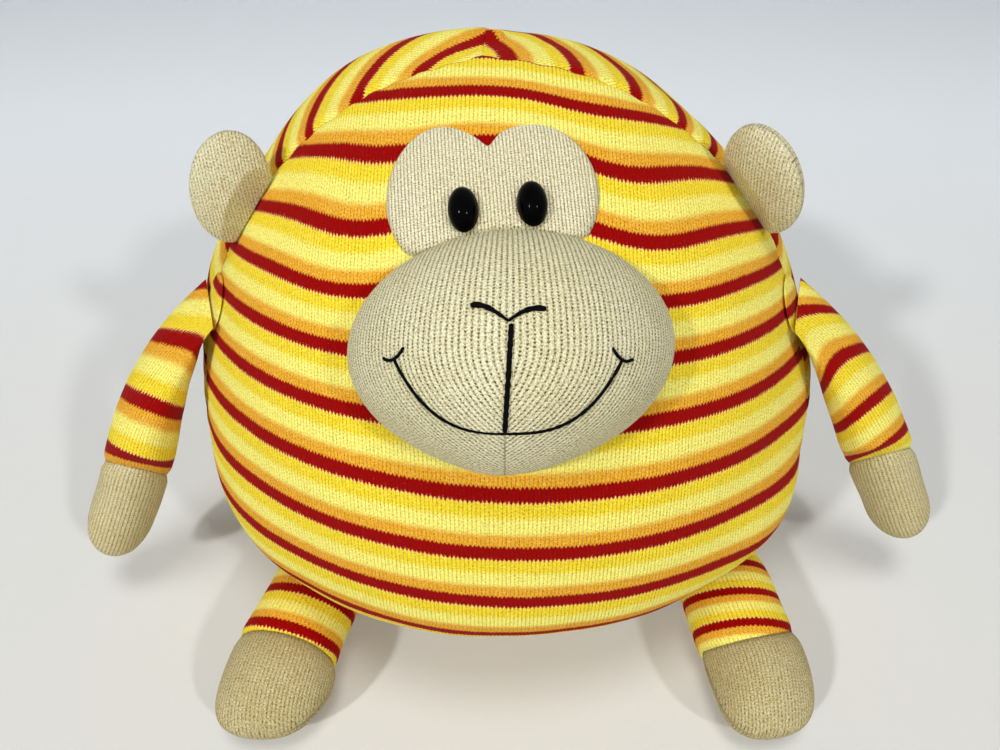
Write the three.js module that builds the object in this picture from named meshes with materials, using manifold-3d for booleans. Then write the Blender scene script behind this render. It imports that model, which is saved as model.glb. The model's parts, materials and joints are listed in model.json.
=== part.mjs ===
// Plush monkey: a knitted ball of three gores that sits on the floor, with a sewn-on face,
// two ears and two arms sewn into the side seams, and two legs lying under its belly.
// Millimetres, +Z up, the face looks along -Y, left and right are the viewer's.

import * as THREE from 'three';
import { mergeVertices } from 'three/addons/utils/BufferGeometryUtils.js';
import Module from 'manifold-3d';

const wasm = await Module();
wasm.setup();

// Cloth and fits
const KNIT_WALL = 2.4;
const FIT_GAP = 0.3;
const FILLING_GAP = 0.6;
const SEAM_GAP_SHIFT = 0.2;

// Fineness of the surfaces
const WELD_DISTANCE = 1e-3;
const ROUND_SIDES = 20;
const BISECTIONS = 40;

// Ball
const BALL_RADIUS = 150;
const CROWN_RISE = 171;
const BELLY_DROP = 96;
const BELLY_FULLNESS = 2.2;
const SEAT_FLAT_DEPTH = 3;
const SEAM_LONGITUDE = THREE.MathUtils.degToRad(66);
const POLAR_STEPS = 20;
const GORE_STEPS = 10;

// Muzzle
const MUZZLE_HEIGHT = 194;
const MUZZLE_SIDE_SHIFT = 3;
const MUZZLE_TILT = THREE.MathUtils.degToRad(3.7);
const MUZZLE_HALF_WIDTH = 57;
const MUZZLE_HALF_HEIGHT = 40.3;
const MUZZLE_BULGE = 36;
const MUZZLE_ROUNDNESS = 1.95;
const DOME_FULLNESS = 2.4;
const DOME_EDGE = 0.55;
const MUZZLE_SPOKES = 24;
const MUZZLE_RINGS = 7;

// Eye patch
const PATCH_HEIGHT = 231;
const PATCH_SIDE_SHIFT = -2;
const PATCH_TILT = THREE.MathUtils.degToRad(5);
const PATCH_THICKNESS = 3;
const LOBE_HALF_WIDTH = 20.3;
const LOBE_HALF_HEIGHT = 26;
const LOBE_SPREAD = 16.8;
const LOBE_SHIFT = -1.4;
const LOBE_RISE = 6;
const PATCH_NECK_HALF_WIDTH = 24;
const PATCH_NECK_DROP = 24;
const PATCH_SPOKES = 32;
const PATCH_RINGS = 3;

// Eyes
const EYE_SPACING = 22.5;
const EYE_DROP = 2;
const EYE_WIDTH = 10.5;
const EYE_HEIGHT = 16;
const EYE_DOME = 6;
const EYE_RINGS = 5;
const EYE_SEAT = 0.7;
const STEM_RADIUS = 2.2;
const STEM_END = 3;
const WASHER_RADIUS = 8;
const WASHER_THICKNESS = 1.6;
const WASHER_SEAT = 1;

// Embroidery
const STITCH_SHIFT = -1.5;
const NOSE_THREAD = 2.2;
const MOUTH_THREAD = 1.2;
const NOSE_HALF_WIDTH = 11;
const NOSE_POINT_RISE = 9.5;
const NOSE_WING_RISE = 4.5;
const NOSE_WING_ARC = THREE.MathUtils.degToRad(112);
const NOSE_SPANS = 6;
const LIP_LEAN = 1.8;
const LIP_SPANS = 4;
const MOUTH_HALF_WIDTH = 33.7;
const MOUTH_CORNER_RISE = -2.8;
const MOUTH_DEPTH = 21;
const MOUTH_BOW = 3;
const MOUTH_SPANS = 12;
const CHEEK_HALF_LENGTH = 3.6;
const CHEEK_SHIFT = 0.7;
const CHEEK_BOW = 2.2;
const CHEEK_LOW_SHARE = 0.4;
const CHEEK_SPANS = 6;
const THREAD_SIDES = 6;
const SPAN_STEPS = 2;
const STITCH_PROBE = 0.5;

// Ears
const LEFT_EAR_HEIGHT = 207.5;
const RIGHT_EAR_HEIGHT = 214;
const LEFT_EAR_FOLD = THREE.MathUtils.degToRad(8);
const RIGHT_EAR_FOLD = THREE.MathUtils.degToRad(25);
const EAR_HALF_LENGTH = 20;
const EAR_REACH = 27.5;
const EAR_BELLY = 11;
const EAR_LEAN = 0.35;
const EAR_THICKNESS = 14;
const EAR_WALL = 1.6;
const EAR_EDGE = 0.5;
const EAR_ROOT_GAP = 0.7;
const EAR_ROOT_TAPER = 0.6;
const EAR_FILLING_EDGE = 0.05;
const EAR_SPOKES = 16;
const EAR_RINGS = 4;

// Arms
const SHOULDER_HEIGHT = 171.5;
const LEFT_ARM_BACK_SWING = THREE.MathUtils.degToRad(8.4);
const RIGHT_ARM_BACK_SWING = THREE.MathUtils.degToRad(13.2);
const LEFT_ARM_CURL = 14;
const RIGHT_ARM_CURL = 2;
const ARM_LENGTH = 165;
const SLEEVE_LENGTH = 108;
const ARM_HALF_WIDTH = 22.8;
const ARM_HALF_THICKNESS = 16.5;
const ARM_ROOT_HALF_WIDTH = 17.4;
const ARM_ROOT_SWELL = 39;
const ARM_ROOT_WIDENING = 39;
const SLEEVE_SEAM_DEPTH = 15;
const SLEEVE_RINGS = 6;
const HAND_HALF_WIDTH = 16.3;
const HAND_HALF_THICKNESS = 15.2;
const HAND_ROUND = 24;
const HAND_RINGS = 4;
const TAB_RADIUS = 13;
const TAB_THICKNESS = 2;
const SLEEVE_WALL = 2;

// Legs
const LEG_ROOT_INSET = 39;
const LEFT_LEG_SPLAY = THREE.MathUtils.degToRad(0.5);
const RIGHT_LEG_SPLAY = THREE.MathUtils.degToRad(9.5);
const LEG_LENGTH = 116;
const TROUSER_LENGTH = 81;
const LEG_HALF_WIDTH = 23.5;
const LEG_HEIGHT = 41;
const LEG_ROOT_HALF_WIDTH = 8;
const LEG_ROOT_THICKNESS = 5;
const LEG_ROOT_SWELL = 20;
const LEG_ROOT_SETTLE = 9;
const LEG_BELLY_GAP = 0.8;
const TROUSER_SEAM_DEPTH = 11;
const TROUSER_RINGS = 6;
const FOOT_HALF_WIDTH = 25;
const FOOT_SWELL = 15;
const FOOT_ROUND = 30;
const FOOT_RINGS = 5;
const SOLE_FLAT_DEPTH = 1.5;
const LIMB_SIDES = 12;

const SIDES = [['left', -1], ['right', 1]];
const RING_HEIGHT = BELLY_DROP - SEAT_FLAT_DEPTH;
const UP = new THREE.Vector3(0, 0, 1);

// Colours
const material = (color, roughness) => new THREE.MeshStandardMaterial({ color, roughness, metalness: 0 });
const stripedKnit = () => material(0xf0d739, 0.95);
const tanKnit = () => material(0xd1cca7, 0.95);
const glossyBlack = () => material(0x08080a, 0.12);
const blackThread = () => material(0x151417, 0.8);
const whiteFilling = () => material(0xf4f2ec, 1);
const whiteNylon = () => material(0xe9e9e4, 0.5);

// Meshes from rings of points

function signedVolume(position, index) {
  const [a, b, c] = [new THREE.Vector3(), new THREE.Vector3(), new THREE.Vector3()];
  let volume = 0;
  for (let i = 0; i < index.length; i += 3) {
    a.fromBufferAttribute(position, index[i]);
    b.fromBufferAttribute(position, index[i + 1]);
    c.fromBufferAttribute(position, index[i + 2]);
    volume += a.dot(b.cross(c)) / 6;
  }
  return volume;
}

function closedGeometry(source) {
  const merged = mergeVertices(source, WELD_DISTANCE);
  const index = [];
  const corners = merged.index.array;
  for (let i = 0; i < corners.length; i += 3) {
    const [a, b, c] = [corners[i], corners[i + 1], corners[i + 2]];
    if (a !== b && b !== c && c !== a) index.push(a, b, c);
  }
  if (signedVolume(merged.attributes.position, index) < 0) index.reverse();
  merged.setIndex(index);
  return merged;
}

// A closed surface over a list of equal rings; a pole is a ring of one repeated point.
// Each quad is split along its shorter diagonal, so that nested surfaces are split alike.
function skin(rings) {
  const size = rings[0].length;
  const points = rings.flat();
  const geometry = new THREE.BufferGeometry();
  const index = [];
  for (let row = 0; row + 1 < rings.length; row++) {
    for (let column = 0; column < size; column++) {
      const next = (column + 1) % size;
      const [a, b] = [row * size + column, row * size + next];
      const [c, d] = [b + size, a + size];
      const isFlipped = points[a].distanceTo(points[c]) < points[b].distanceTo(points[d]);
      index.push(...(isFlipped ? [a, d, c, a, c, b] : [a, d, b, b, d, c]));
    }
  }
  geometry.setFromPoints(points);
  geometry.setIndex(index);
  return closedGeometry(geometry);
}

const pole = (point, size) => Array(size).fill(point);
const steps = (count) => Array.from({ length: count + 1 }, (_, i) => i / count);

// Cuts and joins

function toSolid(geometry) {
  const bare = geometry.clone();
  bare.deleteAttribute('normal');
  bare.deleteAttribute('uv');
  const closed = closedGeometry(bare);
  const vertProperties = new Float32Array(closed.attributes.position.array);
  const triVerts = new Uint32Array(closed.index.array);
  return new wasm.Manifold(new wasm.Mesh({ numProp: 3, vertProperties, triVerts }));
}

function toGeometry(solid) {
  const mesh = solid.getMesh();
  const geometry = new THREE.BufferGeometry();
  geometry.setAttribute('position', new THREE.BufferAttribute(mesh.vertProperties, 3));
  geometry.setIndex(new THREE.BufferAttribute(mesh.triVerts, 1));
  return geometry;
}

function cut(geometry, tools) {
  return toGeometry(tools.reduce((solid, tool) => solid.subtract(toSolid(tool)), toSolid(geometry)));
}

// The ball's surface, from the middle of its widest ring

const ballCentre = new THREE.Vector3(0, 0, RING_HEIGHT);

function ballReach(direction) {
  const flat = Math.hypot(direction.x, direction.y) / BALL_RADIUS;
  if (direction.z >= 0) return 1 / Math.hypot(flat, direction.z / CROWN_RISE);
  const down = -direction.z / BELLY_DROP;
  return (flat ** BELLY_FULLNESS + down ** BELLY_FULLNESS) ** (-1 / BELLY_FULLNESS);
}

function isInBall(point) {
  const fromCentre = point.clone().sub(ballCentre);
  const distance = fromCentre.length();
  return distance < ballReach(fromCentre.divideScalar(distance));
}

function ballPoint(polar, longitude, inset) {
  const flat = Math.sin(polar);
  const direction = new THREE.Vector3(
    flat * Math.sin(longitude), -flat * Math.cos(longitude), Math.cos(polar));
  const point = ballCentre.clone().addScaledVector(direction, ballReach(direction) - inset);
  point.z = Math.max(point.z, inset);
  return point;
}

function ballRadiusAt(height) {
  const rise = height - RING_HEIGHT;
  if (rise >= 0) return BALL_RADIUS * Math.sqrt(1 - (rise / CROWN_RISE) ** 2);
  return BALL_RADIUS * (1 - (-rise / BELLY_DROP) ** BELLY_FULLNESS) ** (1 / BELLY_FULLNESS);
}

function bellyHeightAt(radius) {
  if (radius >= BALL_RADIUS) return RING_HEIGHT;
  const share = 1 - (radius / BALL_RADIUS) ** BELLY_FULLNESS;
  return Math.max(0, RING_HEIGHT - BELLY_DROP * share ** (1 / BELLY_FULLNESS));
}

function ballPointAt(height, longitude) {
  const radius = ballRadiusAt(height);
  return new THREE.Vector3(radius * Math.sin(longitude), -radius * Math.cos(longitude), height);
}

// The outward normal above the widest ring
function ballNormal(point) {
  const { x, y, z } = point.clone().sub(ballCentre);
  const normal = new THREE.Vector3(x / BALL_RADIUS ** 2, y / BALL_RADIUS ** 2, z / CROWN_RISE ** 2);
  return normal.normalize();
}

// A group on the ball: local Z points out, local Y runs the given way
function seatOn(point, along) {
  const outward = ballNormal(point);
  const forward = along.clone().addScaledVector(outward, -along.dot(outward)).normalize();
  const sideways = forward.clone().cross(outward);
  const seat = new THREE.Group();
  seat.position.copy(point);
  seat.quaternion.setFromRotationMatrix(new THREE.Matrix4().makeBasis(sideways, forward, outward));
  return seat;
}

// The ball's surface below a point of a seat's plane, along the seat's own Z
function ballDepth(seat, x, y) {
  seat.updateMatrix();
  let [inside, outside] = [-BALL_RADIUS, BALL_RADIUS];
  for (let i = 0; i < BISECTIONS; i++) {
    const middle = (inside + outside) / 2;
    const point = new THREE.Vector3(x, y, middle).applyMatrix4(seat.matrix);
    if (isInBall(point)) inside = middle;
    else outside = middle;
  }
  return outside;
}

// Gores and filling of the ball

function goreLongitudes(from, to) {
  return steps(GORE_STEPS).map((share) => THREE.MathUtils.lerp(from, to, share));
}

const GORES = [
  ['front_gore', goreLongitudes(-SEAM_LONGITUDE, SEAM_LONGITUDE)],
  ['right_gore', goreLongitudes(SEAM_LONGITUDE, Math.PI)],
  ['left_gore', goreLongitudes(-Math.PI, -SEAM_LONGITUDE)],
];
const polarAngles = steps(POLAR_STEPS).map((share) => share * Math.PI);

function goreGeometry(longitudes) {
  const rings = polarAngles.map((polar) => {
    const outer = longitudes.map((longitude) => ballPoint(polar, longitude, 0));
    const inner = longitudes.map((longitude) => ballPoint(polar, longitude, KNIT_WALL));
    return [...outer, ...inner.reverse()];
  });
  return skin(rings);
}

function goreShift(longitudes) {
  const middle = (longitudes[0] + longitudes.at(-1)) / 2;
  return new THREE.Vector3(Math.sin(middle), -Math.cos(middle), 0).multiplyScalar(SEAM_GAP_SHIFT);
}

function bodyFillingGeometry() {
  const longitudes = GORES.flatMap(([, columns]) => columns.slice(0, -1));
  const inset = KNIT_WALL + FIT_GAP;
  return skin(polarAngles.map((polar) => longitudes.map((angle) => ballPoint(polar, angle, inset))));
}

// Muzzle

const muzzleSeat = seatOn(ballPointAt(MUZZLE_HEIGHT, 0), UP);
muzzleSeat.position.x = MUZZLE_SIDE_SHIFT;

function muzzleOutline(angle, inset) {
  const across = Math.abs(Math.cos(angle - MUZZLE_TILT)) / (MUZZLE_HALF_WIDTH - inset);
  const upward = Math.abs(Math.sin(angle - MUZZLE_TILT)) / (MUZZLE_HALF_HEIGHT - inset);
  return (across ** MUZZLE_ROUNDNESS + upward ** MUZZLE_ROUNDNESS) ** (-1 / MUZZLE_ROUNDNESS);
}

const domeRise = (share) => (1 - Math.min(share, 1) ** DOME_FULLNESS) ** DOME_EDGE;

function muzzleRing(share, inset, bulge) {
  return steps(MUZZLE_SPOKES).slice(0, -1).map((turn) => {
    const angle = turn * 2 * Math.PI;
    const reach = share * muzzleOutline(angle, inset);
    const [x, y] = [reach * Math.cos(angle), reach * Math.sin(angle)];
    return new THREE.Vector3(x, y, ballDepth(muzzleSeat, x, y) + FIT_GAP + bulge * domeRise(share));
  });
}

const domeShares = steps(MUZZLE_RINGS).map((share) => Math.sin(share * Math.PI / 2));

function muzzleCoverGeometry() {
  const outer = domeShares.map((share) => muzzleRing(share, 0, MUZZLE_BULGE));
  const inner = domeShares.map((share) => muzzleRing(share, KNIT_WALL, MUZZLE_BULGE - KNIT_WALL));
  return skin([...outer, ...inner.reverse()]);
}

function muzzleFillingGeometry() {
  const inset = KNIT_WALL + FIT_GAP;
  const top = domeShares.map((share) => muzzleRing(share, inset, MUZZLE_BULGE - inset));
  const back = domeShares.map((share) => muzzleRing(share, inset, 0)).slice(0, -1);
  return skin([...top, ...back.reverse()]);
}

function muzzlePoint(x, y) {
  const share = Math.hypot(x, y) / muzzleOutline(Math.atan2(y, x), 0);
  return new THREE.Vector3(x, y, ballDepth(muzzleSeat, x, y) + FIT_GAP + MUZZLE_BULGE * domeRise(share));
}

// A point that stands off the muzzle's cloth by half a thread and the fit
function stitchPoint(x, y, thread) {
  const point = muzzlePoint(x, y);
  const across = muzzlePoint(x + STITCH_PROBE, y).sub(point);
  const upward = muzzlePoint(x, y + STITCH_PROBE).sub(point);
  return point.addScaledVector(across.cross(upward).normalize(), thread / 2 + FIT_GAP);
}

function threadGeometry(route, thread) {
  const points = route.map(([x, y]) => stitchPoint(x + STITCH_SHIFT, y, thread));
  const path = new THREE.CatmullRomCurve3(points);
  const section = new THREE.Shape();
  for (let side = 0; side < THREAD_SIDES; side++) {
    const angle = side / THREAD_SIDES * 2 * Math.PI;
    const corner = [thread / 2 * Math.cos(angle), thread / 2 * Math.sin(angle)];
    if (side === 0) section.moveTo(...corner);
    else section.lineTo(...corner);
  }
  section.closePath();
  const stepCount = SPAN_STEPS * (route.length - 1);
  return new THREE.ExtrudeGeometry(section, { steps: stepCount, extrudePath: path, curveSegments: 1 });
}

// Shares from -1 at one end of a route to 1 at the other
const routeShares = (spans) => steps(spans).map((share) => 2 * share - 1);

function mouthHeight(x) {
  return MOUTH_CORNER_RISE - MOUTH_DEPTH * (1 - Math.abs(x / MOUTH_HALF_WIDTH) ** MOUTH_BOW);
}

function mouthRoute() {
  return routeShares(MOUTH_SPANS).map((share) => {
    const x = share * MOUTH_HALF_WIDTH;
    return [x, mouthHeight(x)];
  });
}

function noseRoute() {
  return routeShares(NOSE_SPANS).map((share) => {
    const rise = NOSE_WING_RISE * Math.sin(Math.abs(share) * NOSE_WING_ARC);
    return [share * NOSE_HALF_WIDTH, NOSE_POINT_RISE + rise];
  });
}

// The lip line is sewn with the nose's thread and ends clear of the nose and the mouth
function lipRoute() {
  const top = NOSE_POINT_RISE - NOSE_THREAD - FIT_GAP;
  const bottom = mouthHeight(0) + (NOSE_THREAD + MOUTH_THREAD) / 2 + FIT_GAP;
  return steps(LIP_SPANS).map((share) => {
    return [LIP_LEAN * (1 / 2 - share), THREE.MathUtils.lerp(top, bottom, share)];
  });
}

// A small arc just above a corner of the mouth
function cheekRoute(side) {
  const low = MOUTH_CORNER_RISE + MOUTH_THREAD + FIT_GAP;
  return routeShares(CHEEK_SPANS).map((share) => {
    const x = MOUTH_HALF_WIDTH + CHEEK_SHIFT + share * CHEEK_HALF_LENGTH;
    return [side * x, low + CHEEK_BOW * (share - CHEEK_LOW_SHARE) ** 2];
  });
}

// Eye patch and eyes

const patchSeat = seatOn(ballPointAt(PATCH_HEIGHT, 0), UP);
patchSeat.position.x = PATCH_SIDE_SHIFT;
patchSeat.rotateZ(PATCH_TILT);

function isInPatch(x, y) {
  const across = (Math.abs(x - LOBE_SHIFT) - LOBE_SPREAD) / LOBE_HALF_WIDTH;
  const lobe = Math.hypot(across, (y - LOBE_RISE) / LOBE_HALF_HEIGHT) < 1;
  const neck = Math.abs(x) < PATCH_NECK_HALF_WIDTH && y < LOBE_RISE && y > -PATCH_NECK_DROP;
  return lobe || neck;
}

function patchOutline(angle) {
  let [inside, outside] = [0, 2 * (LOBE_HALF_HEIGHT + LOBE_SPREAD + PATCH_NECK_DROP)];
  for (let i = 0; i < BISECTIONS; i++) {
    const middle = (inside + outside) / 2;
    if (isInPatch(middle * Math.cos(angle), middle * Math.sin(angle))) inside = middle;
    else outside = middle;
  }
  return inside;
}

const patchReaches = steps(PATCH_SPOKES).slice(0, -1).map((turn) => patchOutline(turn * 2 * Math.PI));

function patchRing(share, rise) {
  return patchReaches.map((reach, spoke) => {
    const angle = spoke / PATCH_SPOKES * 2 * Math.PI;
    const [x, y] = [share * reach * Math.cos(angle), share * reach * Math.sin(angle)];
    return new THREE.Vector3(x, y, ballDepth(patchSeat, x, y) + FIT_GAP + rise);
  });
}

// The room that the muzzle takes from the patch, in the patch's own frame
function muzzleRoomGeometry() {
  const room = new THREE.Shape(steps(2 * MUZZLE_SPOKES).slice(0, -1).map((turn) => {
    const angle = turn * 2 * Math.PI;
    const reach = muzzleOutline(angle, -FIT_GAP);
    return new THREE.Vector2(reach * Math.cos(angle), reach * Math.sin(angle));
  }));
  const depth = 2 * BALL_RADIUS;
  const geometry = new THREE.ExtrudeGeometry(room, { depth, bevelEnabled: false });
  geometry.translate(0, 0, -depth / 2);
  muzzleSeat.updateMatrix();
  patchSeat.updateMatrix();
  geometry.applyMatrix4(patchSeat.matrix.clone().invert().multiply(muzzleSeat.matrix));
  return geometry;
}

const eyeSeats = SIDES.map(([side, sign]) => {
  const [x, y] = [sign * EYE_SPACING / 2, -EYE_DROP];
  const spot = new THREE.Vector3(x, y, ballDepth(patchSeat, x, y)).applyMatrix4(patchSeat.matrix);
  const seat = seatOn(spot, new THREE.Vector3(0, 1, 0).applyQuaternion(patchSeat.quaternion));
  seat.updateMatrix();
  return [side, seat];
});

const washerTop = -(KNIT_WALL + WASHER_SEAT);
const washerBottom = washerTop - WASHER_THICKNESS;
const stemTip = washerBottom - STEM_END;
const eyeBase = FIT_GAP + PATCH_THICKNESS + EYE_SEAT;

// A rod along an eye's axis, between two distances from the ball's surface
function eyeRod(radius, bottom, top) {
  const rod = new THREE.CylinderGeometry(radius, radius, top - bottom, ROUND_SIDES);
  rod.rotateX(Math.PI / 2);
  rod.translate(0, 0, (top + bottom) / 2);
  return rod;
}

function eyeGeometry() {
  const profile = steps(EYE_RINGS).map((share) => {
    const angle = share * Math.PI / 2;
    return new THREE.Vector2(Math.sin(angle), EYE_DOME * Math.cos(angle));
  });
  profile.push(new THREE.Vector2(0, 0));
  const dome = new THREE.LatheGeometry(profile, ROUND_SIDES);
  dome.rotateX(Math.PI / 2);
  dome.scale(EYE_WIDTH / 2, EYE_HEIGHT / 2, 1);
  dome.translate(0, 0, eyeBase);
  const stem = eyeRod(STEM_RADIUS, stemTip, eyeBase + EYE_DOME / 2);
  return toGeometry(toSolid(dome).add(toSolid(stem)));
}

function washerGeometry() {
  const bore = STEM_RADIUS + FIT_GAP;
  const corners = [[bore, washerBottom], [WASHER_RADIUS, washerBottom], [WASHER_RADIUS, washerTop]];
  corners.push([bore, washerTop], [bore, washerBottom]);
  const profile = corners.map(([x, y]) => new THREE.Vector2(x, y));
  const ring = new THREE.LatheGeometry(profile, ROUND_SIDES);
  ring.rotateX(Math.PI / 2);
  return ring;
}

const stemHoles = eyeSeats.map(([, seat]) => {
  const hole = eyeRod(STEM_RADIUS + FIT_GAP, 2 * stemTip, 2 * eyeBase);
  return hole.applyMatrix4(seat.matrix);
});
const washerPockets = eyeSeats.map(([, seat]) => {
  const pocket = eyeRod(WASHER_RADIUS + FIT_GAP, stemTip - FIT_GAP, eyeBase);
  return pocket.applyMatrix4(seat.matrix);
});

function patchGeometry() {
  const shares = steps(PATCH_RINGS);
  const front = shares.map((share) => patchRing(share, PATCH_THICKNESS));
  const back = shares.map((share) => patchRing(share, 0));
  const toPatch = patchSeat.matrix.clone().invert();
  const holes = stemHoles.map((hole) => hole.clone().applyMatrix4(toPatch));
  return cut(skin([...front, ...back.reverse()]), [muzzleRoomGeometry(), ...holes]);
}

// Ears: local X across the ear, local Y down the seam, local Z out from the hinge line

function earOutline(angle) {
  const reach = EAR_REACH - EAR_BELLY;
  const ellipse = 1 / Math.hypot(Math.cos(angle) / EAR_HALF_LENGTH, Math.sin(angle) / reach);
  if (Math.sin(angle) >= 0) return ellipse;
  return Math.min(ellipse, EAR_BELLY / -Math.sin(angle));
}

function earHalfThickness(share, height) {
  const edge = FIT_GAP / 2 + EAR_EDGE;
  const crown = edge + (EAR_THICKNESS / 2 - edge) * domeRise(share);
  return Math.min(crown, edge + EAR_ROOT_TAPER * height);
}

function earRing(share, across) {
  return steps(EAR_SPOKES).slice(0, -1).map((turn) => {
    const angle = turn * 2 * Math.PI;
    const reach = share * earOutline(angle);
    const height = EAR_BELLY + reach * Math.sin(angle);
    const down = reach * Math.cos(angle) - EAR_LEAN * height;
    return new THREE.Vector3(across(share, height), down, height);
  });
}

const earShares = steps(EAR_RINGS).map((share) => Math.sin(share * Math.PI / 2));

function earInner(share, height) {
  return Math.max(FIT_GAP / 2, earHalfThickness(share, height) - EAR_WALL);
}

function earPanelGeometry(face) {
  const outer = earShares.map((share) => earRing(share, (...at) => face * earHalfThickness(...at)));
  const inner = earShares.map((share) => earRing(share, (...at) => face * earInner(...at)));
  return skin([...outer, ...inner.reverse()]);
}

function earFillingGeometry() {
  const half = (share, height) => Math.max(EAR_FILLING_EDGE, earInner(share, height) - FILLING_GAP);
  const shares = earShares.slice(0, -1);
  const front = shares.map((share) => earRing(share, half));
  const back = shares.map((share) => earRing(share, (...at) => -half(...at)));
  return skin([...front, ...back.reverse()]);
}

// Arms: local Y down the arm, local Z out of the ball, from the shoulder's hinge line

const swell = (distance, length) => 1 - Math.exp(-distance / length);

// How full a limb is near its round end: 1 up to where the end begins, 0 at the tip
function endFullness(along, length, endLength, inset) {
  const past = Math.max(0, along - length + endLength) / (endLength - inset);
  return Math.sqrt(1 - Math.min(1, past) ** 2);
}

function armSection(along, inset, curl) {
  const isHand = THREE.MathUtils.smoothstep(along, SLEEVE_LENGTH - HAND_ROUND, SLEEVE_LENGTH);
  const sleeveWidth = THREE.MathUtils.lerp(
    ARM_ROOT_HALF_WIDTH, ARM_HALF_WIDTH, swell(along, ARM_ROOT_WIDENING));
  const sleeveThickness = ARM_HALF_THICKNESS * swell(along, ARM_ROOT_SWELL);
  const round = endFullness(along, ARM_LENGTH, HAND_ROUND, inset);
  const halfWidth = THREE.MathUtils.lerp(sleeveWidth, HAND_HALF_WIDTH, isHand);
  const halfThickness = THREE.MathUtils.lerp(sleeveThickness, HAND_HALF_THICKNESS, isHand);
  const middle = halfThickness - curl * (along / ARM_LENGTH) ** 2;
  return [middle, (halfWidth - inset) * round, (halfThickness - inset) * round];
}

function armRing(along, inset, curl) {
  const [middle, halfWidth, halfThickness] = armSection(along, inset, curl);
  return steps(LIMB_SIDES).slice(0, -1).map((turn) => {
    const angle = turn * 2 * Math.PI;
    return new THREE.Vector3(
      halfWidth * Math.cos(angle), along, middle + halfThickness * Math.sin(angle));
  });
}

const armRings = (places, inset, curl) => places.map((along) => armRing(along, inset, curl));
const between = (from, to, count) => steps(count).map((share) => THREE.MathUtils.lerp(from, to, share));
const roundEnd = (from, to, count) => steps(count).map((share) => (
  from + (to - from) * Math.sin(share * Math.PI / 2)));

const armPole = (along, curl) => (
  pole(new THREE.Vector3(0, along, armSection(along, 0, curl)[0]), LIMB_SIDES));

const sleeveStart = FIT_GAP;
const cuffEnd = SLEEVE_LENGTH - FIT_GAP / 2;
const handStart = SLEEVE_LENGTH + FIT_GAP / 2;
const handBend = ARM_LENGTH - HAND_ROUND;
const sleevePlaces = between(SLEEVE_SEAM_DEPTH, cuffEnd, SLEEVE_RINGS);

function sleeveGeometry(curl) {
  const outer = armRings([sleeveStart, ...sleevePlaces], 0, curl);
  const inner = armRings(sleevePlaces, SLEEVE_WALL, curl);
  return skin([
    armPole(sleeveStart, curl), ...outer, ...inner.reverse(), armPole(SLEEVE_SEAM_DEPTH, curl)]);
}

function handGeometry(curl) {
  const innerEnd = ARM_LENGTH - SLEEVE_WALL;
  const outer = armRings([handStart, ...roundEnd(handBend, ARM_LENGTH, HAND_RINGS)], 0, curl);
  const inner = armRings([handStart, ...roundEnd(handBend, innerEnd, HAND_RINGS)], SLEEVE_WALL, curl);
  return skin([...outer.reverse(), ...inner]);
}

function armFillingGeometry(curl) {
  const inset = SLEEVE_WALL + FILLING_GAP;
  const start = SLEEVE_SEAM_DEPTH + FILLING_GAP;
  const inSleeve = [start, ...sleevePlaces.slice(1)];
  const places = [...inSleeve, handStart, ...roundEnd(handBend, ARM_LENGTH - inset, HAND_RINGS)];
  return skin([armPole(start, curl), ...armRings(places, inset, curl)]);
}

function tabGeometry() {
  const tab = new THREE.CylinderGeometry(TAB_RADIUS, TAB_RADIUS, TAB_THICKNESS, ROUND_SIDES);
  tab.rotateX(Math.PI / 2);
  tab.translate(0, 0, FIT_GAP + TAB_THICKNESS / 2);
  return tab;
}

// Legs: local Y along the leg, local Z up from the floor, shaped under the belly

const legRootRadius = BALL_RADIUS - LEG_ROOT_INSET;
const legHingeHeight = bellyHeightAt(legRootRadius) - LEG_BELLY_GAP - LEG_ROOT_THICKNESS;

function legSeat(sign, splay) {
  const seat = new THREE.Group();
  seat.position.x = sign * legRootRadius * Math.sin(SEAM_LONGITUDE);
  seat.position.y = -legRootRadius * Math.cos(SEAM_LONGITUDE);
  seat.rotation.z = Math.PI + sign * splay;
  seat.updateMatrix();
  return seat;
}

function legSection(along, inset) {
  const [swellStart, swellEnd] = [TROUSER_LENGTH - FOOT_SWELL, TROUSER_LENGTH + FOOT_SWELL];
  const isFoot = THREE.MathUtils.smoothstep(along, swellStart, swellEnd);
  const trouserWidth = THREE.MathUtils.lerp(
    LEG_ROOT_HALF_WIDTH, LEG_HALF_WIDTH, swell(along, LEG_ROOT_SWELL));
  const round = endFullness(along, LEG_LENGTH, FOOT_ROUND, inset);
  const halfWidth = (THREE.MathUtils.lerp(trouserWidth, FOOT_HALF_WIDTH, isFoot) - inset) * round;
  const halfHeight = ((LEG_HEIGHT + SOLE_FLAT_DEPTH) / 2 - inset) * round;
  const rootFloor = legHingeHeight * (1 - swell(along, LEG_ROOT_SETTLE));
  return [halfWidth, halfHeight, rootFloor];
}

function legRing(seat, along, inset) {
  const [halfWidth, halfHeight, rootFloor] = legSection(along, inset);
  const middle = (LEG_HEIGHT - SOLE_FLAT_DEPTH) / 2;
  return steps(LIMB_SIDES).slice(0, -1).map((turn) => {
    const angle = turn * 2 * Math.PI;
    const across = halfWidth * Math.cos(angle);
    const place = new THREE.Vector3(across, along, 0).applyMatrix4(seat.matrix);
    const ceiling = bellyHeightAt(Math.hypot(place.x, place.y)) - LEG_BELLY_GAP - inset;
    const height = Math.max(middle + halfHeight * Math.sin(angle), rootFloor + inset);
    return new THREE.Vector3(across, along, Math.min(height, ceiling));
  });
}

const legRings = (seat, places, inset) => places.map((along) => legRing(seat, along, inset));

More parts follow.
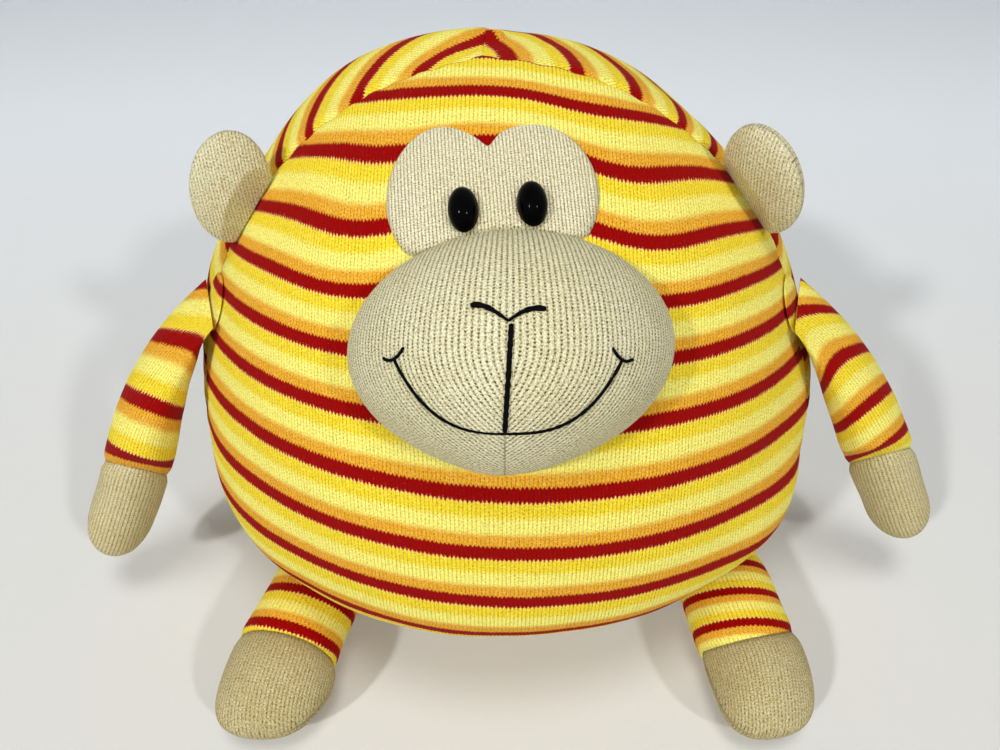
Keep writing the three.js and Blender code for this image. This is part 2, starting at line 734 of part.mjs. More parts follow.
const trouserStart = FIT_GAP;
const trouserEnd = TROUSER_LENGTH - FIT_GAP / 2;
const footStart = TROUSER_LENGTH + FIT_GAP / 2;
const footBend = LEG_LENGTH - FOOT_ROUND;
const trouserPlaces = between(TROUSER_SEAM_DEPTH, trouserEnd, TROUSER_RINGS);

function middleOf(ring) {
  const sum = ring.reduce((total, point) => total.add(point), new THREE.Vector3());
  return sum.divideScalar(ring.length);
}

function trouserGeometry(seat) {
  const outer = legRings(seat, [trouserStart, ...trouserPlaces], 0);
  const inner = legRings(seat, trouserPlaces, SLEEVE_WALL);
  const rootPole = pole(middleOf(outer[0]), LIMB_SIDES);
  const innerPole = pole(middleOf(inner[0]), LIMB_SIDES);
  return skin([rootPole, ...outer, ...inner.reverse(), innerPole]);
}

function footGeometry(seat) {
  const innerEnd = LEG_LENGTH - SLEEVE_WALL;
  const outer = legRings(seat, [footStart, ...roundEnd(footBend, LEG_LENGTH, FOOT_RINGS)], 0);
  const inner = legRings(seat, [footStart, ...roundEnd(footBend, innerEnd, FOOT_RINGS)], SLEEVE_WALL);
  return skin([...outer.reverse(), ...inner]);
}

function legFillingGeometry(seat) {
  const inset = SLEEVE_WALL + FILLING_GAP;
  const start = TROUSER_SEAM_DEPTH + FILLING_GAP;
  const inTrouser = [start, ...trouserPlaces.slice(1)];
  const places = [...inTrouser, footStart, ...roundEnd(footBend, LEG_LENGTH - inset, FOOT_RINGS)];
  const rings = legRings(seat, places, inset);
  return skin([pole(middleOf(rings[0]), LIMB_SIDES), ...rings]);
}

// Assembly

const toy = new THREE.Group();

function place(parent, name, geometry, surface) {
  const mesh = new THREE.Mesh(geometry, surface);
  mesh.name = name;
  parent.add(mesh);
  return mesh;
}

for (const [name, longitudes] of GORES) {
  const whole = goreGeometry(longitudes);
  const geometry = name === 'front_gore' ? cut(whole, stemHoles) : whole;
  place(toy, name, geometry, stripedKnit()).position.copy(goreShift(longitudes));
}
place(toy, 'body_filling', cut(bodyFillingGeometry(), washerPockets), whiteFilling());

toy.add(muzzleSeat);
place(muzzleSeat, 'muzzle_cover', muzzleCoverGeometry(), tanKnit());
place(muzzleSeat, 'muzzle_filling', muzzleFillingGeometry(), whiteFilling());
place(muzzleSeat, 'nose_stitching', threadGeometry(noseRoute(), NOSE_THREAD), blackThread());
place(muzzleSeat, 'lip_stitching', threadGeometry(lipRoute(), NOSE_THREAD), blackThread());
place(muzzleSeat, 'mouth_stitching', threadGeometry(mouthRoute(), MOUTH_THREAD), blackThread());
for (const [side, sign] of SIDES) {
  const cheek = threadGeometry(cheekRoute(sign), MOUTH_THREAD);
  place(muzzleSeat, `cheek_stitching_${side}`, cheek, blackThread());
}

toy.add(patchSeat);
place(patchSeat, 'eye_patch', patchGeometry(), tanKnit());
for (const [side, seat] of eyeSeats) {
  toy.add(seat);
  place(seat, `eye_${side}`, eyeGeometry(), glossyBlack());
  place(seat, `eye_washer_${side}`, washerGeometry(), whiteNylon());
}

const earPlaces = [
  ['left', -1, LEFT_EAR_HEIGHT, LEFT_EAR_FOLD],
  ['right', 1, RIGHT_EAR_HEIGHT, RIGHT_EAR_FOLD],
];
for (const [side, sign, height, fold] of earPlaces) {
  const ear = seatOn(ballPointAt(height, sign * SEAM_LONGITUDE), UP.clone().negate());
  ear.translateZ(EAR_ROOT_GAP);
  ear.rotateY(fold);
  toy.add(ear);
  place(ear, `ear_${side}_front`, earPanelGeometry(sign), tanKnit());
  place(ear, `ear_${side}_back`, earPanelGeometry(-sign), tanKnit());
  place(ear, `ear_${side}_filling`, earFillingGeometry(), whiteFilling());
}

const armPlaces = [
  ['left', -1, LEFT_ARM_BACK_SWING, LEFT_ARM_CURL],
  ['right', 1, RIGHT_ARM_BACK_SWING, RIGHT_ARM_CURL],
];
for (const [side, sign, backSwing, curl] of armPlaces) {
  const shoulder = seatOn(ballPointAt(SHOULDER_HEIGHT, sign * SEAM_LONGITUDE), UP.clone().negate());
  shoulder.rotateZ(sign * backSwing);
  toy.add(shoulder);
  place(shoulder, `arm_${side}_root_tab`, tabGeometry(), stripedKnit());
  const arm = new THREE.Group();
  arm.position.z = FIT_GAP + TAB_THICKNESS + FIT_GAP;
  shoulder.add(arm);
  place(arm, `arm_${side}_sleeve`, sleeveGeometry(curl), stripedKnit());
  place(arm, `hand_${side}`, handGeometry(curl), tanKnit());
  place(arm, `arm_${side}_filling`, armFillingGeometry(curl), whiteFilling());
}

for (const [side, sign] of SIDES) {
  const leg = legSeat(sign, sign < 0 ? LEFT_LEG_SPLAY : RIGHT_LEG_SPLAY);
  toy.add(leg);
  place(leg, `leg_${side}_trouser`, trouserGeometry(leg), stripedKnit());
  place(leg, `foot_${side}`, footGeometry(leg), tanKnit());
  place(leg, `leg_${side}_filling`, legFillingGeometry(leg), whiteFilling());
}

// The origin lies under the middle of the whole toy
toy.updateMatrixWorld(true);
const extent = new THREE.Box3().setFromObject(toy, true);
const extentCentre = extent.getCenter(new THREE.Vector3());
toy.position.set(-extentCentre.x, -extentCentre.y, -extent.min.z);

const monkey = new THREE.Group();
monkey.add(toy);
export default monkey;
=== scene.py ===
import json
from bisect import bisect
from functools import partial
from itertools import accumulate
from math import acos, atan2, copysign, cos, degrees, exp, hypot, pi, radians, sin, sqrt, tanh

import bmesh
import bpy
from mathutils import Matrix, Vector, noise


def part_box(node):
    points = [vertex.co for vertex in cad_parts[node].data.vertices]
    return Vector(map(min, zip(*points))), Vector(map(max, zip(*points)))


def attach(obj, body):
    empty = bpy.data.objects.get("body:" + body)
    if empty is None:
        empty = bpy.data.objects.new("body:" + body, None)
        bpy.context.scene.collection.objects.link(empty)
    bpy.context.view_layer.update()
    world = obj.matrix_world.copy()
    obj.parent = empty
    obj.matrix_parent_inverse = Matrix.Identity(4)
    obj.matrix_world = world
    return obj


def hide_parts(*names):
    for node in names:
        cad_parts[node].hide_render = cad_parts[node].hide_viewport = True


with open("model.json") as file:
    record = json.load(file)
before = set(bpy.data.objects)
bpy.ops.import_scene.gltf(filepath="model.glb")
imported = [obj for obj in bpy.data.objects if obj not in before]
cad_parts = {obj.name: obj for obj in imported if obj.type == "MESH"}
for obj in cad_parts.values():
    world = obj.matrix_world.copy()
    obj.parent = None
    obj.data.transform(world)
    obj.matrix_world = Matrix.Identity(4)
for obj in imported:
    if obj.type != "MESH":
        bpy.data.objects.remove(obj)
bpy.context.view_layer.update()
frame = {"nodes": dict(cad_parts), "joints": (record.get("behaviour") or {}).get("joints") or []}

# Sizes are in millimetres on axes through the middle of the ball, which the filling's box gives
MM = 0.001
filling_low, filling_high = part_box("body_filling")
BALL_PLACE = (Vector(filling_low) + Vector(filling_high)) / (2 * MM)
BALL_PLACE.z = 0
SIDES = {"left": -1, "right": 1}
UP = Vector((0, 0, 1))

# Ball
BALL_RADIUS = 150
CROWN_RISE = 171
BELLY_DROP = 96
BELLY_FULLNESS = 2.2
RING_HEIGHT = 93
SEAM_LONGITUDE = 66
KNIT_WALL = 2.4
FIT_GAP = 0.3
FILLING_GAP = 0.6
EYE_DENT = 7
EYE_DENT_REACH = 13
GORE_ROWS = 150
GORE_COLUMN = 2.9
GORE_CROWDING = 0.4
SEAM_TUCK = 1.1
SEAM_TUCK_WIDTH = 2.0
SEAM_HALF_GAP = 0.12
PUCKER_DEPTH = 0.35
PUCKER_SPACING = 13
PUCKER_REACH = 9
CROWN_SEAM_HIDDEN = 3
CROWN_SHIFT = Vector((-8.5, -18.5, 0))
CROWN_SHIFT_WIDTH = 16
EAR_SEAM_SHIFT = radians(5.5)
EAR_SEAM_HEIGHT = 202
FRONT_START = 44.2
FRONT_TWIST = radians(9.2)
FRONT_TWIST_REACH = 87
FRONT_TILT = 0.0005
FRONT_PULL = 10.2
FRONT_PULL_TURN = 30.2
FRONT_PULL_SPREAD = 17.9
FRONT_PULL_ARC = 111.8
FRONT_PULL_REACH = 43.1
BACK_STARTS = {"left": 14, "right": -8.6}
BACK_CROWN_SHIFTS = {"left": 11, "right": -3}
BACK_CROWN_REACH = 25
# How far the rows bend at most, how steeply, and how much of it fades between two distances from the crown
FRONT_BENDS = 61, 1, 0.59, 110, 200
BACK_BENDS = {"left": (70, 1.25, 0.7, 75, 135), "right": (42, 1, 0.85, 70, 110)}

# Where the stuffing pushes the ball out or leaves it slack: longitude and its spread in degrees,
# height and its spread, and how far out
PUFFS = (
    (-106, 32, 243, 26, 5.5),
    (-84, 12, 175, 25, 3.0),
    (-53, 18, 80, 28, 3.0),
    (-150, 30, 262, 10, 2.2),
    (97, 16, 228, 22, -3.8),
    (53, 16, 84, 28, 8.0),
    (70, 12, 128, 25, 3.5),
    (0, 24, 48, 18, -5.0),
)

# Knit
WALE = 1.55
STRIPE_PITCH = 25.5
STRIPE_ROWS = 17
STRIPE_MARKS = 22
ROW = STRIPE_PITCH / STRIPE_ROWS
RED_MIDDLE_ROW = 2
STITCH_SLANT = 0.8
TAN_WALE = 2.05
TAN_ROW = 1.2
PATCH_WALE = 1.25
PATCH_ROW = 1.0
EAR_WALE = 1.45
EAR_ROW = 1.1
LIMB_ROW = 1.1
TAN_SLANT = 0.5

# Muzzle
MUZZLE_HEIGHT = 194
MUZZLE_SIDE_SHIFT = 3
MUZZLE_TILT = radians(3.7)
MUZZLE_HALF_WIDTH = 57
MUZZLE_HALF_HEIGHT = 40.3
MUZZLE_BULGE = 36
MUZZLE_ROUNDNESS = 1.95
MUZZLE_WALL = 2
DOME_FULLNESS = 2.4
DOME_EDGE = 0.55
CHIN_DART_DEPTH = 0.7
CHIN_DART_WIDTH = 1.2
CHIN_DROP = 2.7
CHIN_DART_TOP = -21
MUZZLE_FOLD = -2.3
MUZZLE_RINGS = 44
MUZZLE_SPOKES = 208
MUZZLE_MAP_STRETCH = 0.35
CHIN_RIB_LEAN = 0.0224
CHIN_RIB_TOP = 3

# Eye patch and eyes
PATCH_HEIGHT = 231
PATCH_SIDE_SHIFT = -2
PATCH_TILT = radians(5)
PATCH_THICKNESS = 3
LOBE_HALF_WIDTH = 20.3
LOBE_HALF_HEIGHT = 26
LOBE_SPREAD = 16.8
LOBE_SHIFT = -1.4
LOBE_RISE = 6
PATCH_NECK_HALF_WIDTH = 24
PATCH_NECK_DROP = 24
EYE_SPACING = 22.5
EYE_DROP = 2
EYE_WIDTH = 10.5
EYE_HEIGHT = 16
EYE_DOME = 6
EYE_BASE = 4.0
EYE_RIM = 0.5
STEM_RADIUS = 2.2
STEM_BEVEL = 0.6
STEM_TIP = -8

# Embroidery
STITCH_SHIFT = -1.5
NOSE_THREAD = 1.9
LIP_THREAD = 1.7
MOUTH_THREAD = 1.1
NOSE_HALF_WIDTH = 11
NOSE_POINT_RISE = 9.5
NOSE_WING_RISE = 4.5
NOSE_WING_ARC = radians(112)
NOSE_TILT = 0.12
LIP_LEAN = 1.8
MOUTH_HALF_WIDTH = 33.7
MOUTH_CORNER_RISE = -2.8
MOUTH_DEPTH = 21
MOUTH_BOW = 3
CHEEK_HALF_LENGTH = 3.6
CHEEK_SHIFT = 0.7
CHEEK_BOW = 2.2
CHEEK_LOW_SHARE = 0.4
PLY_TURN = 3.2
STITCH_LENGTH = 4.5
THREAD_SEAT = 0.34
THREAD_RING_STEP = 0.35
MOUTH_STRETCH = 1.025

# Ears
EAR_ROOTS = {"left": (207.5, radians(8)), "right": (214, radians(25))}
EAR_HALF_LENGTH = 20
EAR_REACH = 27.5
EAR_BELLY = 11
EAR_LEAN = 0.35
EAR_THICKNESS = 14
EAR_WALL = 1.6
EAR_EDGE = 0.65
EAR_ROOT_GAP = 0.7
EAR_ROOT_TAPER = 0.6
EAR_RINGS = 26
EAR_SPOKES = 88
EAR_RIB_ALONG = 0.75
EAR_RIB_ACROSS = 0.66
EAR_RISES = {"left": 2, "right": 0}
EAR_SPREADS = {"left": 1.02, "right": 1.07}

# Arms
ARM_LENGTH = 165
SLEEVE_LENGTH = 108
ARM_HALF_WIDTH = 22.8
ARM_HALF_THICKNESS = 16.5
ARM_ROOT_HALF_WIDTH = 17.4
ARM_ROOT_SWELL = 39
ARM_ROOT_WIDENING = 39
SLEEVE_SEAM_DEPTH = 15
HAND_HALF_WIDTH = 16.3
HAND_HALF_THICKNESS = 15.2
HAND_ROUND = 24
ARM_CURLS = {"left": 14, "right": 2}
HAND_BENDS = {"left": 12, "right": 4.8}
HAND_BEND_START = 88
HAND_BEND_END = 190
ARM_OFFSET = 2.6
TAB_RADIUS = 13
TAB_SPOKES = 40
SLEEVE_WALL = 2

# Legs
LEG_LENGTH = 116
TROUSER_LENGTH = 81
LEG_HALF_WIDTH = 23.5
LEG_HEIGHT = 41
LEG_ROOT_HALF_WIDTH = 8
LEG_ROOT_SWELL = 20
LEG_ROOT_SETTLE = 9
LEG_SLACK = 2.5
LEG_BELLY_GAP = 0.8
TROUSER_SEAM_DEPTH = 11
FOOT_HALF_WIDTH = 25
FOOT_SWELL = 15
FOOT_ROUND = 30
FOOT_SQUARENESS = 2.7
TOE_SEAM = 3
SOLE_FLAT_DEPTH = 1.5

LIMB_SIDES = 64
LIMB_STEP = 2.2
CUFF_TUCK = 1.3
CUFF_TUCK_WIDTH = 3
CUFF_SLANT_REACH = 32

# Floor, light and camera, the floor and lamps in metres
FLOOR_FRONT = -2.0
FLOOR_BACK = 1.6
FLOOR_HALF_WIDTH = 3.0
COVE_RADIUS = 0.8
BACKDROP_HEIGHT = 2.4
LAMPS = (
    ("left_lamp", (-1.8, -2.3, 1.9), (0, 0, 0.12), 0.24, 59),
    ("right_lamp", (1.8, -2.3, 1.9), (0, 0, 0.12), 0.24, 39),
    ("top_lamp", (0, -0.7, 2.6), (0, 0, 0.1), 1.0, 26),
)
WORLD_STRENGTH = 0.13
CAMERA_LENS = 27.2
CAMERA_PLACE = Vector((0, -329.26, 338.2))
CAMERA_AIM = Vector((-0.0038, 0.8028, -0.5963))


def mix(a, b, share):
    return a + (b - a) * share


def smooth(value, low, high):
    share = min(1, max(0, (value - low) / (high - low)))
    return share * share * (3 - 2 * share)


def bell(value, width):
    return exp(-((value / width) ** 2))


def swell(distance, length):
    return 1 - exp(-distance / length)


def lump(point, size, seed=0):
    return noise.noise(point / size + Vector((seed, 2.7 * seed, -1.3 * seed)))


def turn_at(j, sides):
    return 2 * pi * (j % sides) / sides


def turns_round(sides):
    return [turn_at(j, sides) for j in range(sides + 1)]


def ring_share(i, rings):
    """How far out a ring lies, with rings closer together towards the edge."""
    return sin(i / rings * pi / 2)


def grid(rows, columns, spot):
    return [[spot(i, j) for j in range(columns + 1)] for i in range(rows + 1)]


def grids(rows, columns, spot):
    """One grid for each of the things that spot gives at a row and a column."""
    table = grid(rows, columns, spot)
    return [[[cell[k] for cell in line] for line in table] for k in range(len(table[0][0]))]


def cloth_maps(rows, columns, spot):
    """The knit and seam maps from the two places that spot gives at a row and a column."""
    return dict(zip(("knit", "seam"), grids(rows, columns, spot)))


def dye(red, green, blue):
    def linear(value):
        value /= 255
        return value / 12.92 if value <= 0.04045 else ((value + 0.055) / 1.055) ** 2.4
    return (linear(red), linear(green), linear(blue), 1)


# Shader maths


class Wire:
    """A shader value on which arithmetic adds Math nodes."""

    def __init__(self, tree, socket=None):
        self.tree = tree
        self.socket = socket

    def node(self, kind, settings, sockets, out=0):
        made = self.tree.nodes.new(kind)
        for name, value in settings.items():
            if name == "stops":
                stops = made.color_ramp.elements
                while len(stops) < len(value):
                    stops.new(1)
                for stop, (place, colour) in zip(stops, value):
                    stop.position = place
                    stop.color = colour
            else:
                setattr(made, name, value)
        for key, value in sockets.items():
            if isinstance(value, Wire):
                self.tree.links.new(value.socket, made.inputs[key])
            else:
                made.inputs[key].default_value = value
        return Wire(self.tree, made.outputs[out])

    def math(self, operation, *values):
        return self.node("ShaderNodeMath", {"operation": operation}, dict(enumerate(values)))

    def __add__(self, other):
        return self.math("ADD", self, other)

    __radd__ = __add__

    def __mul__(self, other):
        return self.math("MULTIPLY", self, other)

    __rmul__ = __mul__

    def __sub__(self, other):
        return self.math("SUBTRACT", self, other)

    def __rsub__(self, other):
        return self.math("SUBTRACT", other, self)

    def __truediv__(self, other):
        return self.math("DIVIDE", self, other)

    def __pow__(self, other):
        return self.math("POWER", self, other)

    def __abs__(self):
        return self.math("ABSOLUTE", self)

    def wave(self):
        return self.math("SINE", self)

    def part(self):
        return self.math("FRACT", self)

    def whole(self):
        return self.math("FLOOR", self)

    def step(self, low, high, start=0.0, end=1.0):
        return self.node(
            "ShaderNodeMapRange", {"interpolation_type": "SMOOTHSTEP"},
            {0: self, 1: low, 2: high, 3: start, 4: end})

    def tint(self, below, above, blend="MIX"):
        """Goes from the colour below to the colour above as this value goes from 0 to 1."""
        settings = {"data_type": "RGBA", "blend_type": blend}
        return self.node("ShaderNodeMix", settings, {0: self, 6: below, 7: above}, out=2)

    def ramp(self, stops):
        return self.node("ShaderNodeValToRGB", {"stops": stops}, {0: self})

    def flat(self, name, out):
        place = self.node("ShaderNodeUVMap", {"uv_map": name}, {})
        return self.node("ShaderNodeSeparateXYZ", {}, {0: place}, out=out)

    def vector(self, x, y):
        return self.node("ShaderNodeCombineXYZ", {}, {0: x, 1: y})

    def spots(self, place, scale, detail=2.0, roughness=0.5):
        return self.node(
            "ShaderNodeTexNoise", {},
            {"Vector": place, "Scale": scale, "Detail": detail, "Roughness": roughness})

    def on_toy(self):
        return self.node("ShaderNodeTexCoord", {}, {}, out=3)


def new_finish(name, fixed):
    made = bpy.data.materials.new(name)
    made.use_nodes = True
    shader = made.node_tree.nodes["Principled BSDF"]
    for socket, value in fixed.items():
        shader.inputs[socket].default_value = value
    return made, Wire(made.node_tree), shader


def wire_up(bench, shader, links):
    for socket, wire in links.items():
        bench.tree.links.new(wire.socket, shader.inputs[socket])


KNIT_FIXED = {
    "Specular IOR Level": 0.06,
    "Sheen Weight": 0.02,
    "Sheen Roughness": 0.5,
    "Sheen Tint": (1.0, 0.96, 0.88, 1.0),
}


def knit_stitches(bench, wale, row, slant, gap):
    """Rows, painted shade in the stitches' hollows, and relief of plain knit from its wale and row numbers.
    """
    off_middle = abs(wale.part() * 2 - 1)
    slanted = row - slant * off_middle
    in_row = slanted.part()
    uneven = bench.spots(bench.vector(wale * 1.7, slanted * 1.1), 1.0, 2.0).step(0.3, 0.7)
    strand = (in_row * pi).wave()
    loose = bench.spots(bench.vector((wale + 0.5).whole() * 7.3, 0.5), 1.0) * 5
    dot = ((slanted + loose).part() * pi).wave()
    between = off_middle.step(1 - gap, 1.05)
    # Painted shade: how dark the gaps between wales, at each stitch's hole, and the cleft down each wale
    # are drawn.
    cleft = (1 - off_middle) ** 5 * (1 - strand)
    hollow_shade = between * (0.2 + dot ** 2 * 0.9) * (0.35 + uneven) + cleft * 0.25
    height = strand * 0.2 + (1 - off_middle ** 4) * 0.4 - between * dot * 0.4
    return slanted, hollow_shade, height


def bumped(bench, height, strength, distance):
    return bench.node(
        "ShaderNodeBump", {}, {"Height": height, "Strength": strength, "Distance": distance})


RED = dye(150, 3, 2)
TOOTH = dye(250, 186, 128)
YELLOW = dye(246, 223, 44)
PALE = dye(251, 245, 124)
ORANGE = dye(236, 174, 42)
# Painted shade in the creases along the seams
SEAM_SHADE = dye(104, 42, 14)
# Colours down a stripe repeat and the marks they lie at
STRIPES = (
    (0.0, RED), (5.0, RED), (5.2, TOOTH), (5.7, YELLOW), (9.9, YELLOW), (11.8, PALE), (16.0, PALE),
    (18.0, ORANGE), (21.6, ORANGE), (21.85, RED))
KNIT_FIBRE = 2000.0, 3.0, 0.65


def finish_knit(bench, shader, colour, height, fibre, relief):
    rough = 0.84 + fibre * 0.14
    normal = bumped(bench, height + fibre * 0.35, relief, 0.0006)
    wire_up(bench, shader, {"Base Color": colour, "Roughness": rough, "Normal": normal})


def make_striped_knit():
    made, bench, shader = new_finish("striped_knit", KNIT_FIXED)
    wale = bench.flat("knit", 0)
    row = bench.flat("knit", 1)
    from_seam = bench.flat("seam", 0)
    along_seam = bench.flat("seam", 1)
    slanted, hollow_shade, height = knit_stitches(bench, wale, row, STITCH_SLANT, 0.5)
    fibre = bench.spots(bench.on_toy(), *KNIT_FIBRE)
    streaks = bench.spots(bench.vector(wale, row * 0.16), 0.9, 3.0, 0.6)
    share = ((slanted + (streaks - 0.5) * 1.0 + (fibre - 0.5) * 1.0) / STRIPE_ROWS).part()
    stripes = share.ramp([(mark / STRIPE_MARKS, colour) for mark, colour in STRIPES])
    speck = bench.spots(bench.vector(wale * 1.3, row * 2.1), 1.0, 2.0)
    in_red = share.step(0.19, 0.23, 1.0, 0.0)
    flecked = (speck.step(0.64, 0.74) * in_red * 0.14).tint(stripes, dye(232, 120, 96))
    # Painted shade: the stitches' hollows are darkened, less in the red.
    with_hollow_shade = (hollow_shade * (0.62 - in_red * 0.3)).tint(flecked, dye(140, 86, 18), "MULTIPLY")
    # Painted shade and highlight on the fibres: their low places are darkened and their raised places
    # lightened, both less in the red.
    mottle_and_fibre_shade = (fibre.step(0.56, 0.3) * (0.6 - in_red * 0.25)).tint(with_hollow_shade, dye(198, 140, 70), "MULTIPLY")
    lit = (fibre.step(0.54, 0.72) * (1 - in_red) * 0.45).tint(mottle_and_fibre_shade, dye(255, 248, 190))
    # Painted shade in the seam's crease: a dark, fuzzy line along the seam, broken where it doesn't show.
    fuzzy = from_seam + (fibre - 0.5) * 1.2
    showing = bench.spots(bench.vector(along_seam, 0.0), 0.09).step(0.35, 0.6)
    line = fuzzy.step(0.15, 0.9, 1.0, 0.0) * showing
    sewn = (line * 0.75).tint(lit, SEAM_SHADE)
    finish_knit(bench, shader, sewn, height, fibre, 0.6)
    return made


def make_tan_knit(name, tan, pale, hollow_shade_tint, depth):
    made, bench, shader = new_finish(name, KNIT_FIXED)
    wale = bench.flat("knit", 0)
    row = bench.flat("knit", 1)
    from_seam = bench.flat("seam", 0)
    _, hollow_shade, height = knit_stitches(bench, wale, row, TAN_SLANT, 0.75)
    cloud = bench.spots(bench.on_toy(), 45.0, 3.0)
    fibre = bench.spots(bench.on_toy(), *KNIT_FIBRE)
    # The yarn's own uneven tone, in cloudy patches of tan and paler tan.
    mottle_and_fibre_shade = cloud.step(0.35, 0.7).tint(tan, pale)
    # Painted shade: the stitches' hollows are darkened.
    ribs = (hollow_shade * depth).tint(mottle_and_fibre_shade, hollow_shade_tint, "MULTIPLY")
    # Painted shade and highlight on the fibres: their low places are darkened and their raised places
    # lightened.
    fibre_shaded = (fibre.step(0.56, 0.32) * 0.75).tint(ribs, dye(168, 152, 110), "MULTIPLY")
    lit = (fibre.step(0.53, 0.7) * 0.55).tint(fibre_shaded, dye(254, 250, 228))
    # Painted shade in the crease along the seams and edges: a dark line there.
    line = (from_seam + (fibre - 0.5) * 0.8).step(0.2, 1.2, 0.5, 0.0)
    finish_knit(bench, shader, line.tint(lit, dye(92, 80, 50)), height, fibre, 0.75)
    return made


def make_grained(name, gloss, grain, colours, rough, relief, edges=None):
    """A finish whose colour, roughness and relief follow one grain."""
    made, bench, shader = new_finish(name, {"Specular IOR Level": gloss})
    grain = bench.spots(bench.on_toy(), *grain)
    share = grain.step(*edges) if edges else grain
    normal = bumped(bench, grain, *relief)
    links = {"Base Color": share.tint(*colours), "Roughness": rough[0] + grain * rough[1], "Normal": normal}
    wire_up(bench, shader, links)
    return made


def make_white_filling():
    made, bench, shader = new_finish("white_filling", {"Sheen Weight": 0.2})
    wave = {"Vector": bench.on_toy(), "Scale": 120.0, "Distortion": 9.0}
    wisps = bench.node("ShaderNodeTexWave", {}, wave)
    clumps = bench.spots(bench.on_toy(), 90.0, 4.0)
    colour = (wisps * clumps).tint(dye(228, 226, 220), dye(250, 248, 244))
    rough = 0.85 + wisps * 0.15
    normal = bumped(bench, wisps + clumps, 0.6, 0.0012)
    wire_up(bench, shader, {"Base Color": colour, "Roughness": rough, "Normal": normal})
    return made


striped_knit = make_striped_knit()
# Each tan knit: its tan, a paler tan for its uneven tone, and the colour and strength of the painted shade
# in its stitches' hollows.
muzzle_knit = make_tan_knit("muzzle_knit", dye(230, 224, 183), dye(236, 231, 195), dye(112, 98, 58), 1.15)
patch_knit = make_tan_knit("patch_knit", dye(240, 233, 196), dye(242, 236, 204), dye(128, 112, 70), 1.1)
limb_knit = make_tan_knit("limb_knit", dye(212, 198, 146), dye(218, 206, 158), dye(110, 94, 52), 0.7)
# The feet's knit is a darker copy of the limbs' tan knit: painted shade.
shaded_foot_knit = make_tan_knit("shaded_foot_knit", dye(196, 181, 128), dye(204, 191, 142), dye(104, 88, 48), 0.7)
ear_knit = make_tan_knit("ear_knit", dye(220, 211, 168), dye(226, 220, 182), dye(122, 106, 64), 0.7)
eye_plastic = make_grained(
    "black_eye", gloss=0.03, grain=(260.0, 4.0), colours=(dye(2, 2, 2), dye(5, 5, 5)),
    rough=(0.07, 0.07), relief=(0.05, 0.0004), edges=(0.3, 0.8))
black_thread = make_grained(
    "black_thread", gloss=0.04, grain=(2400.0, 3.0), colours=(dye(4, 3, 3), dye(22, 19, 19)),
    rough=(0.5, 0.35), relief=(0.5, 0.0002), edges=(0.4, 0.85))
white_filling = make_white_filling()
white_nylon = make_grained(
    "white_nylon", gloss=0.4, grain=(700.0, 3.0), colours=(dye(222, 222, 216), dye(240, 240, 235)),
    rough=(0.42, 0.18), relief=(0.15, 0.0003))


# Sewing pieces


def on_frame(point):
    return (point + BALL_PLACE) * MM


def put(name, data):
    made = bpy.data.objects.new(name, data)
    bpy.context.scene.collection.objects.link(made)
    return made


def sew(name, outside, inside=None, maps=None, wrap=True, open_start=False, open_end=False):
    """A closed piece from a grid of points for its outside, one for its inside, and maps over both."""
    shape = bmesh.new()
    layers = {map_name: shape.loops.layers.uv.new(map_name) for map_name in maps or ()}
    sheets = [outside] if inside is None else [outside, inside]
    corners = [
        [[shape.verts.new(on_frame(point)) for point in line] for line in sheet] for sheet in sheets]
    last_line = len(outside) - 1
    last_place = len(outside[0]) - 1

    def join(*places):
        face = shape.faces.new([corners[sheet][i][j] for sheet, i, j in places])
        face.smooth = True
        for loop, (sheet, i, j) in zip(face.loops, places):
            for map_name, layer in layers.items():
                loop[layer].uv = maps[map_name][i][j]

    for i in range(last_line):
        for j in range(last_place):
            join((0, i, j), (0, i + 1, j), (0, i + 1, j + 1), (0, i, j + 1))
            if inside is not None:
                join((1, i, j), (1, i, j + 1), (1, i + 1, j + 1), (1, i + 1, j))
    if inside is not None:
        for i, is_open in ((0, open_start), (last_line, open_end)):
            for j in range(last_place if is_open else 0):
                join((0, i, j), (0, i, j + 1), (1, i, j + 1), (1, i, j))
        for j in (() if wrap else (0, last_place)):
            for i in range(last_line):
                join((0, i, j), (0, i + 1, j), (1, i + 1, j), (1, i, j))
    bmesh.ops.remove_doubles(shape, verts=shape.verts, dist=2e-6)
    bmesh.ops.recalc_face_normals(shape, faces=shape.faces)
    mesh = bpy.data.meshes.new(name)
    shape.to_mesh(mesh)
    shape.free()
    return put(name, mesh)


def finish_piece(made, material, body, node):
    made.data.materials.append(material)
    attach(made, body)
    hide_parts(node)


# The ball's form


def half_form(rise):
    """Height and fullness of the half of the ball that lies above or below its widest ring."""
    return (CROWN_RISE, 2) if rise >= 0 else (BELLY_DROP, BELLY_FULLNESS)


def ball_reach(direction):
    size, power = half_form(direction.z)
    flat = hypot(direction.x, direction.y) / BALL_RADIUS
    return (flat ** power + abs(direction.z / size) ** power) ** (-1 / power)


def ball_point(polar, longitude):
    direction = Vector((
        sin(polar) * sin(longitude), -sin(polar) * cos(longitude), cos(polar)))
    point = direction * ball_reach(direction)
    point.z += RING_HEIGHT
    return point


def ball_normal(point):
    rise = point.z - RING_HEIGHT
    size, power = half_form(rise)
    flat = max(hypot(point.x, point.y), 1e-6)
    out = (flat / BALL_RADIUS) ** (power - 1) / (BALL_RADIUS * flat)
    up = copysign(abs(rise / size) ** (power - 1) / size, rise)
    return Vector((out * point.x, out * point.y, up)).normalized()


def ball_radius_at(height):
    rise = height - RING_HEIGHT
    size, power = half_form(rise)
    return BALL_RADIUS * max(0, 1 - abs(rise / size) ** power) ** (1 / power)


def crown_height_at(radius):
    return RING_HEIGHT + CROWN_RISE * sqrt(max(0, 1 - (radius / BALL_RADIUS) ** 2))


